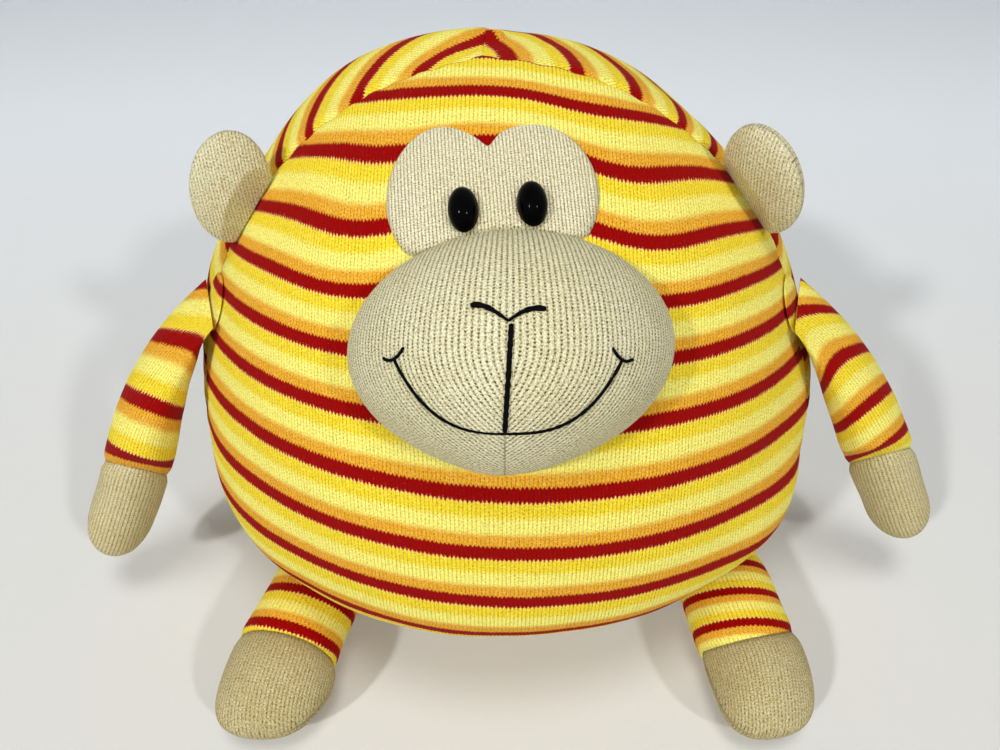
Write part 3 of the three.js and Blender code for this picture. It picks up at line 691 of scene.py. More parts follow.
def belly_height_at(radius):
    share = min(1, radius / BALL_RADIUS)
    return max(0, RING_HEIGHT - BELLY_DROP * (1 - share ** BELLY_FULLNESS) ** (1 / BELLY_FULLNESS))


def arc_table(steps):
    """Distance from the crown down the ball's side, after each step."""
    points = [ball_point(pi * i / steps, 0) for i in range(steps + 1)]
    return list(accumulate(((b - a).length for a, b in zip(points, points[1:])), initial=0.0))


ARCS = arc_table(720)
ARC_TOTAL = ARCS[-1]


def polar_at(arc):
    low = min(bisect(ARCS, arc), len(ARCS) - 1) - 1
    share = (arc - ARCS[low]) / (ARCS[low + 1] - ARCS[low])
    return pi * (low + share) / (len(ARCS) - 1)


def arc_at(polar):
    place = polar / pi * (len(ARCS) - 1)
    low = min(int(place), len(ARCS) - 2)
    return mix(ARCS[low], ARCS[low + 1], place - low)


class Seat:
    """A place on the ball: local X across, Y along, Z out."""

    def __init__(self, origin, along, out=None):
        self.origin = origin
        self.z = ball_normal(origin) if out is None else out
        self.y = (along - self.z * along.dot(self.z)).normalized()
        self.x = self.y.cross(self.z)

    def at(self, x, y, z):
        return self.origin + self.x * x + self.y * y + self.z * z

    def turned(self, angle):
        along = self.y * cos(angle) - self.x * sin(angle)
        return Seat(self.origin, along, self.z)

    def folded(self, angle):
        return Seat(self.origin, self.y, self.x * sin(angle) + self.z * cos(angle))

    def shifted(self, x, y, z=0):
        return Seat(self.at(x, y, z), self.y, self.z)

    def depth(self, x, y):
        """How far the ball's surface lies below the seat's plane, as a negative height."""
        start = self.at(x, y, 0) - Vector((0, 0, RING_HEIGHT))
        sizes = (BALL_RADIUS, BALL_RADIUS, CROWN_RISE)
        scaled = Vector([value / size for value, size in zip(start, sizes)])
        slope = Vector([value / size for value, size in zip(self.z, sizes)])
        a = slope.dot(slope)
        b = scaled.dot(slope)
        c = scaled.dot(scaled) - 1
        return (-b + sqrt(max(0, b * b - a * c))) / a

    def place_of(self, point):
        offset = point - self.origin
        return offset.dot(self.x), offset.dot(self.y)


def ball_point_at(height, longitude):
    radius = ball_radius_at(height)
    return Vector((radius * sin(longitude), -radius * cos(longitude), height))


# Gores


def bend_of(arc, limit, steepness, fade, fade_from, fade_to):
    return limit * tanh(arc * steepness / limit) * (1 - fade * smooth(arc, fade_from, fade_to))


def front_course(arc, longitude):
    """How far a place on the front gore lies down the rows from the middle of a red one."""
    side_turn = degrees(longitude)
    turn = longitude + FRONT_TWIST * bell(arc, FRONT_TWIST_REACH)
    pulled = FRONT_PULL * bell(abs(side_turn) - FRONT_PULL_TURN, FRONT_PULL_SPREAD)
    pulled *= bell(arc - FRONT_PULL_ARC, FRONT_PULL_REACH)
    bend = bend_of(arc, *FRONT_BENDS)
    return arc - bend * (1 - cos(turn)) - FRONT_TILT * side_turn * arc - pulled - FRONT_START


def back_course(side, arc, longitude):
    bend = bend_of(arc, *BACK_BENDS[side]) * (1 - cos(longitude))
    return bend + BACK_STARTS[side] - arc - BACK_CROWN_SHIFTS[side] * bell(arc, BACK_CROWN_REACH)


def crown_drawn(point, polar):
    """Draws the top of the cover towards the face, where its three seams meet."""
    moved = point + CROWN_SHIFT * bell(degrees(polar), CROWN_SHIFT_WIDTH)
    if polar < pi / 4:
        moved.z = crown_height_at(hypot(moved.x, moved.y))
    return moved


def ball_puff(point):
    """How far the stuffing pushes the ball's cover out at a point."""
    longitude = degrees(atan2(point.x, -point.y))
    out = 0.7 * lump(point, 55, 1) + 0.35 * lump(point, 21, 2)
    for middle, spread, height, rise, amount in PUFFS:
        turn = (longitude - middle + 180) % 360 - 180
        out += amount * bell(turn, spread) * bell(point.z - height, rise)
    return out


def place_on_ball(point, middle):
    """Distance from the crown over the ball, and turn from a gore's middle."""
    arc = arc_at(atan2(hypot(point.x, point.y), point.z - RING_HEIGHT))
    turn = atan2(point.x, -point.y) - middle
    return arc, (turn + pi) % (2 * pi) - pi


def seam_drawn(longitude, height):
    """Moves the side seams back a little where the ears are sewn over them."""
    turn = (longitude + pi) % (2 * pi) - pi
    near = bell(degrees(abs(turn)) - SEAM_LONGITUDE, 22) * bell(height - EAR_SEAM_HEIGHT, 30)
    return longitude + copysign(EAR_SEAM_SHIFT * near, turn)


def make_gore(name, start, end, course):
    middle = radians(start + end) / 2
    half = radians(end - start) / 2
    columns = round(2 * half * BALL_RADIUS / GORE_COLUMN)
    seam_hidden = 0 if course is front_course else CROWN_SEAM_HIDDEN

    def spot(i, j):
        arc = ARC_TOTAL * i / GORE_ROWS
        polar = polar_at(arc) if 0 < i < GORE_ROWS else pi * (i // GORE_ROWS)
        level = ball_point(polar, 0)
        radius = hypot(*level.xy)
        gap = min(0.02, SEAM_HALF_GAP / max(radius, 1e-6))
        span = 2 * j / columns - 1
        turn = mix(span, sin(span * pi / 2), GORE_CROWDING) * (half - gap)
        point = crown_drawn(ball_point(polar, seam_drawn(middle + turn, level.z)), polar)
        out = ball_normal(point)
        from_seam = radius * (half - abs(turn))
        pucker = sin(2 * pi * arc / PUCKER_SPACING + 1.9 * lump(point, 30, 3))
        pucker *= PUCKER_DEPTH * exp(-from_seam / PUCKER_REACH)
        tuck = SEAM_TUCK * bell(from_seam, SEAM_TUCK_WIDTH) * smooth(arc, 12, 50)
        puff = ball_puff(point)
        outer = point + out * (puff + pucker - tuck)
        inner = point + out * (min(puff, 0) - KNIT_WALL - 0.6 * tuck)
        outer.z = max(outer.z, 0.02)
        inner.z = max(inner.z, KNIT_WALL)
        drop, swing = place_on_ball(point, middle)
        width = hypot(point.x, point.y) * mix(sin(swing), swing, smooth(drop, 40, 120))
        stitch = width / WALE, course(drop, swing) / ROW + RED_MIDDLE_ROW
        return outer, inner, stitch, (from_seam + seam_hidden * bell(arc, 70), arc)

    outside, inside, knit, seam = grids(GORE_ROWS, columns, spot)
    made = sew(name, outside, inside, {"knit": knit, "seam": seam}, wrap=False)
    finish_piece(made, striped_knit, "ball", name.replace("_cloth", ""))


make_gore("front_gore_cloth", -SEAM_LONGITUDE, SEAM_LONGITUDE, front_course)
make_gore("left_gore_cloth", -180, -SEAM_LONGITUDE, partial(back_course, "left"))
make_gore("right_gore_cloth", SEAM_LONGITUDE, 180, partial(back_course, "right"))


# Seats of the sewn-on pieces

muzzle_seat = Seat(ball_point_at(MUZZLE_HEIGHT, 0), UP).shifted(MUZZLE_SIDE_SHIFT, 0)
patch_seat = Seat(ball_point_at(PATCH_HEIGHT, 0), UP).shifted(PATCH_SIDE_SHIFT, 0).turned(PATCH_TILT)
joints = {joint["name"]: joint for joint in frame["joints"]}


def joint_place(name):
    return Vector(joints[name]["pos_m"]) / MM - BALL_PLACE


def joint_axis(name):
    return Vector(joints[name]["axis"]).normalized()


def eye_seat(sign):
    x = sign * EYE_SPACING / 2
    foot = patch_seat.at(x, -EYE_DROP, patch_seat.depth(x, -EYE_DROP))
    return Seat(foot, patch_seat.y)


eye_seats = {side: eye_seat(sign) for side, sign in SIDES.items()}


def make_body_filling():
    rows, columns = 60, 96

    def spot(i, j):
        point = ball_point(pi * i / rows, turn_at(j, columns))
        from_eyes = [(point - seat.origin).length for seat in eye_seats.values()]
        dents = sum(EYE_DENT * bell(distance, EYE_DENT_REACH) for distance in from_eyes)
        inset = KNIT_WALL + SEAM_TUCK + FILLING_GAP + 0.6 + dents + 0.9 * lump(point, 24, 5)
        point = point - ball_normal(point) * (inset - min(ball_puff(point), 0))
        point.z = max(point.z, KNIT_WALL + FILLING_GAP)
        return point

    made = sew("body_stuffing", grid(rows, columns, spot))
    finish_piece(made, white_filling, "ball", "body_filling")


make_body_filling()


# Muzzle


def dome_rise(share):
    return (1 - min(share, 1) ** DOME_FULLNESS) ** DOME_EDGE


def muzzle_outline(angle):
    across = abs(cos(angle - MUZZLE_TILT)) / MUZZLE_HALF_WIDTH
    along = abs(sin(angle - MUZZLE_TILT)) / MUZZLE_HALF_HEIGHT
    return (across ** MUZZLE_ROUNDNESS + along ** MUZZLE_ROUNDNESS) ** (-1 / MUZZLE_ROUNDNESS)


def muzzle_share(x, y):
    reach = hypot(x, y)
    return reach / muzzle_outline(atan2(y, x)) if reach else 0


def chin_dart(x, y):
    return CHIN_DART_DEPTH * bell(x - MUZZLE_FOLD, CHIN_DART_WIDTH) * smooth(-y, 22, 26)


def muzzle_point(x, y):
    rise = MUZZLE_BULGE * dome_rise(muzzle_share(x, y)) - chin_dart(x, y)
    return muzzle_seat.at(x, y, muzzle_seat.depth(x, y) + FIT_GAP + rise)


def folded_spot(x, y):
    """Brings the line below the muzzle's middle to its chin dart and lets the chin hang a little."""
    drop = CHIN_DROP * smooth(-y, 14, 38) * bell(x - MUZZLE_FOLD, 20)
    return x + MUZZLE_FOLD * smooth(-y, 6, 20) * bell(x, 9), y - drop


def muzzle_grid(inset, lumps, is_base=False):
    def spot(i, j):
        share = ring_share(i, MUZZLE_RINGS)
        angle = turn_at(j, MUZZLE_SPOKES) - pi / 2
        reach = share * (muzzle_outline(angle) - inset)
        x, y = folded_spot(reach * cos(angle), reach * sin(angle))
        height = muzzle_seat.depth(x, y) + FIT_GAP
        if not is_base:
            height += (MUZZLE_BULGE - inset) * dome_rise(share) - chin_dart(x, y)
        point = muzzle_seat.at(x, y, height)
        return point + muzzle_seat.z * lumps * lump(point, 26, 7) * (1 - share ** 4)

    return grid(MUZZLE_RINGS, MUZZLE_SPOKES, spot)


def muzzle_maps():
    def spot(i, j):
        share = ring_share(i, MUZZLE_RINGS)
        angle = 2 * pi * j / MUZZLE_SPOKES - pi / 2
        reach = share * muzzle_outline(angle)
        x, y = folded_spot(reach * cos(angle), reach * sin(angle))
        over = 1 + MUZZLE_MAP_STRETCH * share ** 2
        lean = CHIN_RIB_LEAN * max(0, CHIN_RIB_TOP - y) ** 2
        wale = (x * over + (lean if j < MUZZLE_SPOKES / 2 else -lean)) / TAN_WALE
        # The seam map also runs to the chin dart, so that a line of painted shade marks the dart's crease.
        from_dart = 2.6 * abs(x - MUZZLE_FOLD) + max(0, y - CHIN_DART_TOP)
        from_seam = min(from_dart, 1 + (1 - share) * reach * 1.6)
        return (wale, -y * over / TAN_ROW), (from_seam, angle * reach)

    return cloth_maps(MUZZLE_RINGS, MUZZLE_SPOKES, spot)


def make_muzzle():
    sheets = muzzle_grid(0, 0.5), muzzle_grid(MUZZLE_WALL, 0.5)
    cover = sew("muzzle_cloth", *sheets, muzzle_maps(), open_end=True)
    finish_piece(cover, muzzle_knit, "ball", "muzzle_cover")
    inset = MUZZLE_WALL + FILLING_GAP + 0.4
    sheets = muzzle_grid(inset, 0.4), muzzle_grid(inset, 0, is_base=True)
    stuffing = sew("muzzle_stuffing", *sheets, open_end=True)
    finish_piece(stuffing, white_filling, "ball", "muzzle_filling")


make_muzzle()


# Eye patch and eyes


def is_in_patch(x, y):
    across = (abs(x - LOBE_SHIFT) - LOBE_SPREAD) / LOBE_HALF_WIDTH
    on_lobe = hypot(across, (y - LOBE_RISE) / LOBE_HALF_HEIGHT) < 1
    return on_lobe or (abs(x) < PATCH_NECK_HALF_WIDTH and -PATCH_NECK_DROP < y < LOBE_RISE)


def is_clear_of_muzzle(x, y):
    point = patch_seat.at(x, y, patch_seat.depth(x, y))
    return muzzle_share(*muzzle_seat.place_of(point)) > 0.985


def lobe_drawn(x, y):
    """Draws the left lobe's top and the notch beside it up a little."""
    return x, y + smooth(y, 6, 26) * (3 * bell(x + 22, 16) + 1.8 * bell(x - 2, 7))


def patch_reach(angle):
    low, high = 0.0, 60.0
    for _ in range(30):
        middle = (low + high) / 2
        x, y = middle * cos(angle), middle * sin(angle)
        if is_in_patch(x, y) and is_clear_of_muzzle(x, y):
            low = middle
        else:
            high = middle
    return low


def make_patch():
    rings, spokes = 26, 144
    reaches = [patch_reach(turn_at(j, spokes)) for j in range(spokes)]
    for _ in range(2):
        reaches = [
            (reaches[j - 1] + 2 * reaches[j] + reaches[(j + 1) % spokes]) / 4 for j in range(spokes)]

    def spot(i, j):
        edge = reaches[j % spokes]
        reach = ring_share(i, rings) * edge
        angle = turn_at(j, spokes)
        x, y = lobe_drawn(reach * cos(angle), reach * sin(angle))
        foot = patch_seat.at(x, y, patch_seat.depth(x, y) + FIT_GAP)
        from_edge = edge - reach
        rise = PATCH_THICKNESS * swell(from_edge, 1.2) - 0.5 * bell(from_edge - 3.2, 0.9)
        top = foot + patch_seat.z * max(0.15, rise)
        top += patch_seat.z * 0.25 * lump(top, 15, 9) * smooth(from_edge, 2, 6)
        return top, foot, (x / PATCH_WALE, -y / PATCH_ROW), (from_edge + 0.7, angle * reach)

    top, base, knit, seam = grids(rings, spokes, spot)
    made = sew("eye_patch_cloth", top, base, {"knit": knit, "seam": seam}, open_end=True)
    finish_piece(made, patch_knit, "ball", "eye_patch")


make_patch()


def make_eye(side):
    seat = eye_seats[side]
    spokes = 64
    bends = [t / 20 * pi / 2 for t in range(21)]
    profile = [(sin(bend), EYE_BASE + EYE_DOME * cos(bend)) for bend in bends]
    back = EYE_BASE - EYE_RIM
    profile += [(1.0, EYE_BASE - EYE_RIM / 2), (0.94, back), (0.7, back)]
    stem = [(STEM_RADIUS, back), (STEM_RADIUS, STEM_TIP + STEM_BEVEL)]
    stem += [(STEM_RADIUS - STEM_BEVEL, STEM_TIP), (0, STEM_TIP)]
    rings = [(share * EYE_WIDTH / 2, share * EYE_HEIGHT / 2, height) for share, height in profile]
    rings += [(radius, radius, height) for radius, height in stem]
    made = sew(f"eye_{side}_button", [ring_on(seat, *ring, spokes) for ring in rings])
    finish_piece(made, eye_plastic, "ball", f"eye_{side}")


def ring_on(seat, half_x, half_y, height, spokes):
    return [seat.at(half_x * cos(turn), half_y * sin(turn), height) for turn in turns_round(spokes)]


for side in SIDES:
    make_eye(side)
    washer_finishes = frame["nodes"][f"eye_washer_{side}"].data.materials
    washer_finishes.clear()
    washer_finishes.append(white_nylon)


# Embroidery


def muzzle_normal(x, y):
    probe = 0.4
    across = muzzle_point(x + probe, y) - muzzle_point(x - probe, y)
    along = muzzle_point(x, y + probe) - muzzle_point(x, y - probe)
    return across.cross(along).normalized()


def mouth_height(x):
    return MOUTH_CORNER_RISE - MOUTH_DEPTH * (1 - abs(x / MOUTH_HALF_WIDTH) ** MOUTH_BOW)


def mouth_route(share):
    x = share * MOUTH_HALF_WIDTH * MOUTH_STRETCH
    return x, mouth_height(x)


def nose_route(share):
    wing = NOSE_WING_RISE * (0.9 - NOSE_TILT * share)
    return share * NOSE_HALF_WIDTH, NOSE_POINT_RISE + wing * sin(abs(share) * NOSE_WING_ARC)


def lip_route(share):
    top = NOSE_POINT_RISE - NOSE_THREAD / 3
    bottom = mouth_height(0) + MOUTH_THREAD / 3
    return -LIP_LEAN * share / 2, mix(top, bottom, (share + 1) / 2)


def cheek_route(sign):
    low = MOUTH_CORNER_RISE + MOUTH_THREAD / 3

    def route(share):
        x = MOUTH_HALF_WIDTH + CHEEK_SHIFT + share * CHEEK_HALF_LENGTH
        return sign * x, low + CHEEK_BOW * (share - CHEEK_LOW_SHARE) ** 2
    return route


def make_thread(name, route, thickness, node, waist=0):
    """A two-ply thread sewn along a route over the muzzle in short stitches, thinner at its waist."""
    count = 400

    def spot(share):
        x, y = route(share)
        return x + STITCH_SHIFT, y

    places = [spot(2 * t / count - 1) for t in range(count + 1)]
    points = [muzzle_point(x, y) + muzzle_normal(x, y) * (thickness * THREAD_SEAT) for x, y in places]
    length = sum((b - a).length for a, b in zip(points, points[1:]))
    stitches = max(1, round(length / STITCH_LENGTH))
    rings = max(24, round(length / THREAD_RING_STEP))
    sides = 14
    lines = []
    for i in range(rings + 1):
        share = i / rings
        at = min(count - 1, int(share * count))
        point = points[at].lerp(points[at + 1], share * count - at)
        ahead = (points[min(count, at + 3)] - points[max(0, at - 3)]).normalized()
        out = muzzle_normal(*spot(2 * share - 1))
        out = (out - ahead * out.dot(ahead)).normalized()
        beside = ahead.cross(out)
        done = share * length
        ends = sqrt(max(0, 1 - max(0, 1 - min(done, length - done) / (thickness * 0.6)) ** 2))
        pull = 0.84 + 0.16 * abs(sin(pi * share * stitches)) ** 0.5
        line = []
        for turn in turns_round(sides):
            ply = 0.84 + 0.18 * abs(cos(turn - pi * done / PLY_TURN))
            radius = thickness / 2 * ply * ends * pull * (1 - waist * bell(2 * share - 1, 0.45))
            line.append(point + beside * radius * cos(turn) + out * radius * sin(turn))
        lines.append(line)
    made = sew(name, lines)
    finish_piece(made, black_thread, "ball", node)


make_thread("nose_thread", nose_route, NOSE_THREAD, "nose_stitching", 0.5)
make_thread("lip_thread", lip_route, LIP_THREAD, "lip_stitching")
make_thread("mouth_thread", mouth_route, MOUTH_THREAD, "mouth_stitching")
for side, sign in SIDES.items():
    make_thread(f"cheek_{side}_thread", cheek_route(sign), MOUTH_THREAD, f"cheek_stitching_{side}")


# Ears


def ear_outline(angle):
    ellipse = 1 / hypot(cos(angle) / EAR_HALF_LENGTH, sin(angle) / (EAR_REACH - EAR_BELLY))
    if sin(angle) >= 0:
        return ellipse
    return min(ellipse, EAR_BELLY / -sin(angle))


def ear_half_thickness(share, height):
    crown = EAR_EDGE + (EAR_THICKNESS / 2 - EAR_EDGE) * dome_rise(share)
    return min(crown, EAR_EDGE + EAR_ROOT_TAPER * height)


def ear_sheet(seat, spread, across):
    def spot(i, j):
        share = ring_share(i, EAR_RINGS)
        angle = turn_at(j, EAR_SPOKES)
        reach = share * ear_outline(angle)
        height = EAR_BELLY + reach * sin(angle)
        down = reach * cos(angle) - EAR_LEAN * height
        return seat.at(across(share, height), down * spread, height * spread)

    return grid(EAR_RINGS, EAR_SPOKES, spot)


def ear_maps():
    def spot(i, j):
        angle = 2 * pi * j / EAR_SPOKES
        edge = ear_outline(angle)
        reach = ring_share(i, EAR_RINGS) * edge
        along, height = reach * cos(angle), reach * sin(angle)
        wale = (along * EAR_RIB_ALONG + height * EAR_RIB_ACROSS) / EAR_WALE
        row = (height * EAR_RIB_ALONG - along * EAR_RIB_ACROSS) / EAR_ROW
        return (wale, row), (0.8 + edge - reach, angle * reach)

    return cloth_maps(EAR_RINGS, EAR_SPOKES, spot)


def make_ear(side, sign):
    height, fold = EAR_ROOTS[side]
    root = Seat(ball_point_at(height, sign * radians(SEAM_LONGITUDE)), -UP)
    seat = root.shifted(0, -EAR_RISES[side], EAR_ROOT_GAP).folded(fold)
    spread = EAR_SPREADS[side]
    body = f"ear_{side}"

    def inner(share, height):
        return max(FIT_GAP / 2, ear_half_thickness(share, height) - EAR_WALL)

    for panel, face in (("front", sign), ("back", -sign)):
        outside = ear_sheet(seat, spread, lambda share, height: face * ear_half_thickness(share, height))
        inside = ear_sheet(seat, spread, lambda share, height: face * inner(share, height))
        made = sew(f"ear_{side}_{panel}_cloth", outside, inside, ear_maps(), open_end=True)
        finish_piece(made, ear_knit, body, f"ear_{side}_{panel}")

    def stuffing(share, height):
        return max(0.05, inner(share, height) - FILLING_GAP) * (1 - share ** 30)

    front = ear_sheet(seat, spread, stuffing)
    back = ear_sheet(seat, spread, lambda share, height: -stuffing(share, height))
    made = sew(f"ear_{side}_stuffing", front, back, open_end=True)
    finish_piece(made, white_filling, body, f"ear_{side}_filling")


for side, sign in SIDES.items():
    make_ear(side, sign)


# Limbs


def end_fullness(along, length, end_length, inset, squareness=2):
    past = max(0, along - length + end_length) / (end_length - inset)
    return (1 - min(1, past) ** squareness) ** (1 / squareness)


def cuff_slant(limb, side, along, turn):
    """How far a limb's rings lean back towards its root beside its cuff."""
    cuff, length = (SLEEVE_LENGTH, ARM_LENGTH) if limb == "arm" else (TROUSER_LENGTH, LEG_LENGTH)
    back, lean, roll, arch = CUFF_SLANTS[limb, side]
    back += lean * cos(turn) + roll * sin(turn) + arch * (1 - max(0, sin(turn)))
    return back * bell(along - cuff, CUFF_SLANT_REACH) * (1 - smooth(along, length - 34, length - 4))


def arm_ring(side, seat, along, inset, lumps):
    is_hand = smooth(along, SLEEVE_LENGTH - HAND_ROUND, SLEEVE_LENGTH)
    sleeve_width = mix(ARM_ROOT_HALF_WIDTH, ARM_HALF_WIDTH, swell(along, ARM_ROOT_WIDENING))
    width = mix(sleeve_width, HAND_HALF_WIDTH, is_hand)
    thickness = mix(ARM_HALF_THICKNESS * swell(along, ARM_ROOT_SWELL), HAND_HALF_THICKNESS, is_hand)
    middle = thickness - ARM_CURLS[side] * (along / ARM_LENGTH) ** 2
    middle += HAND_BENDS[side] * smooth(along, HAND_BEND_START, HAND_BEND_END)
    fullness = end_fullness(along, ARM_LENGTH, HAND_ROUND, inset)
    less = inset + CUFF_TUCK * bell(along - SLEEVE_LENGTH, CUFF_TUCK_WIDTH)
    half_width, half_thickness = (width - less) * fullness, (thickness - less) * fullness
    line = []
    for turn in turns_round(LIMB_SIDES):
        down = along - cuff_slant("arm", side, along, turn)
        flat = seat.at(half_width * cos(turn), down, middle + half_thickness * sin(turn))
        away = seat.x * cos(turn) + seat.z * sin(turn)
        line.append(flat + away * lumps * lump(flat, 19, 11) * min(1, half_thickness / 6))
    return line


def leg_sway(side, along):
    """How far the leg lies to the viewer's right of a straight one, at a distance from its root."""
    stops = LEG_SWAYS[side]
    for (start, first), (end, last) in zip(stops, stops[1:]):
        if along <= end:
            return mix(first, last, smooth(along, start, end))
    return stops[-1][1]


def leg_ring(side, seat, along, inset, lumps):
    is_foot = smooth(along, TROUSER_LENGTH - FOOT_SWELL, TROUSER_LENGTH + FOOT_SWELL)
    trouser_width = mix(LEG_ROOT_HALF_WIDTH, LEG_HALF_WIDTH, swell(along, LEG_ROOT_SWELL))
    hip = smooth(along, 0, 16) * (1 - smooth(along, 28, 76))
    across_fullness = end_fullness(along, LEG_LENGTH, FOOT_ROUND, inset, FOOT_SQUARENESS)
    fullness = end_fullness(along, LEG_LENGTH, FOOT_ROUND, inset)
    tuck = CUFF_TUCK * bell(along - TROUSER_LENGTH, CUFF_TUCK_WIDTH)
    half_width = mix(trouser_width, FOOT_HALF_WIDTH * FOOT_SHARES[side], is_foot) + LEG_SLACK * hip
    half_width = (half_width - inset - tuck) * across_fullness
    half_height = ((LEG_HEIGHT + SOLE_FLAT_DEPTH) / 2 - inset - tuck) * fullness
    root_floor = joint_place(f"leg_{side}_lift").z * exp(-along / LEG_ROOT_SETTLE)
    middle = (LEG_HEIGHT - SOLE_FLAT_DEPTH) / 2
    line = []
    for turn in turns_round(LIMB_SIDES):
        across = half_width * cos(turn) - leg_sway(side, along)
        height = middle + half_height * sin(turn)
        place = seat.at(across, along - cuff_slant("leg", side, along, turn), height)
        puff = lumps * lump(place, 21, 13) * fullness
        place += seat.x * puff * cos(turn)
        ceiling = belly_height_at(hypot(place.x, place.y)) - LEG_BELLY_GAP - inset
        place.z = min(max(height + puff * sin(turn), root_floor + inset), ceiling)
        line.append(place)
    return line


def pole_of(line):
    middle = sum(line[:-1], Vector()) / (len(line) - 1)
    return [middle] * len(line)


def places_between(start, end, step):
    count = max(2, round((end - start) / step))
    return [mix(start, end, i / count) for i in range(count + 1)]


def round_end(start, end, step):
    count = max(6, round(1.4 * (end - start) / step))
    return [start + (end - start) * sin(i / count * pi / 2) for i in range(count + 1)]


def kept_turn(turn, fullness, quarter):
    """The turn at which a rib lies that runs straight on into a rounded end."""
    from_edge = (turn - quarter) % (2 * pi)
    kept = acos(fullness * cos(from_edge))
    if from_edge > pi:
        kept = 2 * pi - kept
    return kept + quarter - (2 * pi if turn < quarter else 0)


def striped_maps(places, cuff, wales, stripes, slant):
    """Maps over a limb's striped tube, whose rows tilt, roll and arch."""
    start_mark, mark_length, (tilt, roll, arch) = stripes

    def spot(i, j):
        along = places[i]
        turn = 2 * pi * j / LIMB_SIDES
        down = along - slant(along, turn) + tilt * cos(turn) + roll * sin(turn)
        down -= arch * max(0, sin(turn))
        wale = j / LIMB_SIDES * wales
        row = (start_mark + down / mark_length) * STRIPE_ROWS / STRIPE_MARKS
        return (wale, row), (0.4 + cuff - along, wale * WALE)

    return cloth_maps(len(places) - 1, LIMB_SIDES, spot)


def tan_maps(places, cuff, tip_seam, wales, narrowing, quarter):
    """Maps over a limb's tan end, whose ribs run straight on to its tip."""
    def spot(i, j):
        along = places[i]
        turn = kept_turn(2 * pi * j / LIMB_SIDES, narrowing(along), quarter)
        from_seam = min(0.5 + along - cuff, 0.3 + 1.5 * abs(along - tip_seam))
        return (turn / (2 * pi) * wales, along / LIMB_ROW), (from_seam, 0.0)

    return cloth_maps(len(places) - 1, LIMB_SIDES, spot)


def make_limb(limb, side, names, ring, sizes, wales, stripes, narrowing, quarter):
    """A striped tube with a tan end and the stuffing in both."""
    body = f"{limb}_{side}"
    tube = f"{body}_{names[0]}"
    end = f"{names[1]}_{side}"
    slant = partial(cuff_slant, limb, side)
    length, cuff, root_depth, round_length, tip_seam = sizes
    inset = SLEEVE_WALL

    tube_places = places_between(FIT_GAP, cuff - FIT_GAP / 2, LIMB_STEP)
    outside = [ring(along, 0, 0.5) for along in tube_places]
    inside = [ring(max(along, root_depth), inset, 0.5) for along in tube_places]
    outside.insert(0, pole_of(outside[0]))
    inside.insert(0, pole_of(inside[0]))
    maps = striped_maps(tube_places[:1] + tube_places, cuff, wales[0], stripes, slant)
    made = sew(f"{tube}_cloth", outside, inside, maps, open_end=True)
    finish_piece(made, striped_knit, body, tube)

    bend = length - round_length
    end_places = places_between(cuff + FIT_GAP / 2, bend, LIMB_STEP)[:-1]
    end_places += round_end(bend, length, LIMB_STEP)
    outside = [ring(along, 0, 0.5) for along in end_places]
    inside = [ring(min(along, length - inset), inset, 0.5) for along in end_places]
    maps = tan_maps(end_places, cuff, tip_seam, wales[1], narrowing, quarter)
    made = sew(f"{end}_cloth", outside, inside, maps, open_start=True)
    # The feet get the darker copy of the tan knit, which paints shade on them.
    tan = shaded_foot_knit if limb == "leg" else limb_knit
    finish_piece(made, tan, body, end)

    inset += FILLING_GAP + 0.5
    places = places_between(root_depth + FILLING_GAP, bend, LIMB_STEP)[:-1]
    places += round_end(bend, length - inset, LIMB_STEP)
    rings = [ring(along, inset, 0.4) for along in places]
    rings.insert(0, pole_of(rings[0]))
    made = sew(f"{body}_stuffing", rings)
    finish_piece(made, white_filling, body, f"{body}_filling")


# Share of the tab's radius and height there, from the middle of its top round to its base
TAB_PROFILE = (
    (0, 1.8), (0.5, 1.7), (0.8, 1.3), (0.94, 0.9), (1, 0.6),
    (0.96, 0.45), (0.85, 0.35), (0.5, 0.3), (0, 0.3))


def make_tab(side, seat):
    rings = []
    for share, height in TAB_PROFILE:
        radius = share * TAB_RADIUS
        rings.append(ring_on(seat, radius, radius, height - ARM_OFFSET, TAB_SPOKES))

    def spot(i, j):
        arc, turn = place_on_ball(rings[i][j], 0)
        return (turn * BALL_RADIUS / WALE, front_course(arc, turn) / ROW + RED_MIDDLE_ROW), (9.0, 0.0)

    maps = cloth_maps(len(rings) - 1, TAB_SPOKES, spot)
    made = sew(f"arm_{side}_tab_cloth", rings, None, maps)
    node = f"arm_{side}_root_tab"
    finish_piece(made, striped_knit, f"shoulder_{side}", node)


# First mark, millimetres per mark, and how the rows tilt, roll and arch
ARM_STRIPES = {"left": (41.06, -1.555, (-15, 4, 0)), "right": (-53.3, 1.198, (15.9, 10.5, 0))}
LEG_STRIPES = {"left": (-54.1, 0.886, (5.75, 0, 5)), "right": (66.5, -0.782, (3.6, 0, 7.6))}
# How far a cuff lies back, leans, rolls and arches
CUFF_SLANTS = {
    ("arm", "left"): (4, -15, 4, 0),
    ("arm", "right"): (4.4, 17.5, 5, 0),
    ("leg", "left"): (2.5, 4.5, 0, 2),
    ("leg", "right"): (0, -1.2, 0, 9.5),
}
# Distance along a leg and how far it lies to the viewer's right there
LEG_SWAYS = {
    "left": ((0, 0), (30, 8.5), (84, 0.5), (116, -3.5)),
    "right": ((0, 0), (30, 6.5), (84, 3.5), (116, -0.5)),
}
FOOT_SHARES = {"left": 1, "right": 0.93}
ARM_WALES = 64, 52
LEG_WALES = 72, 88


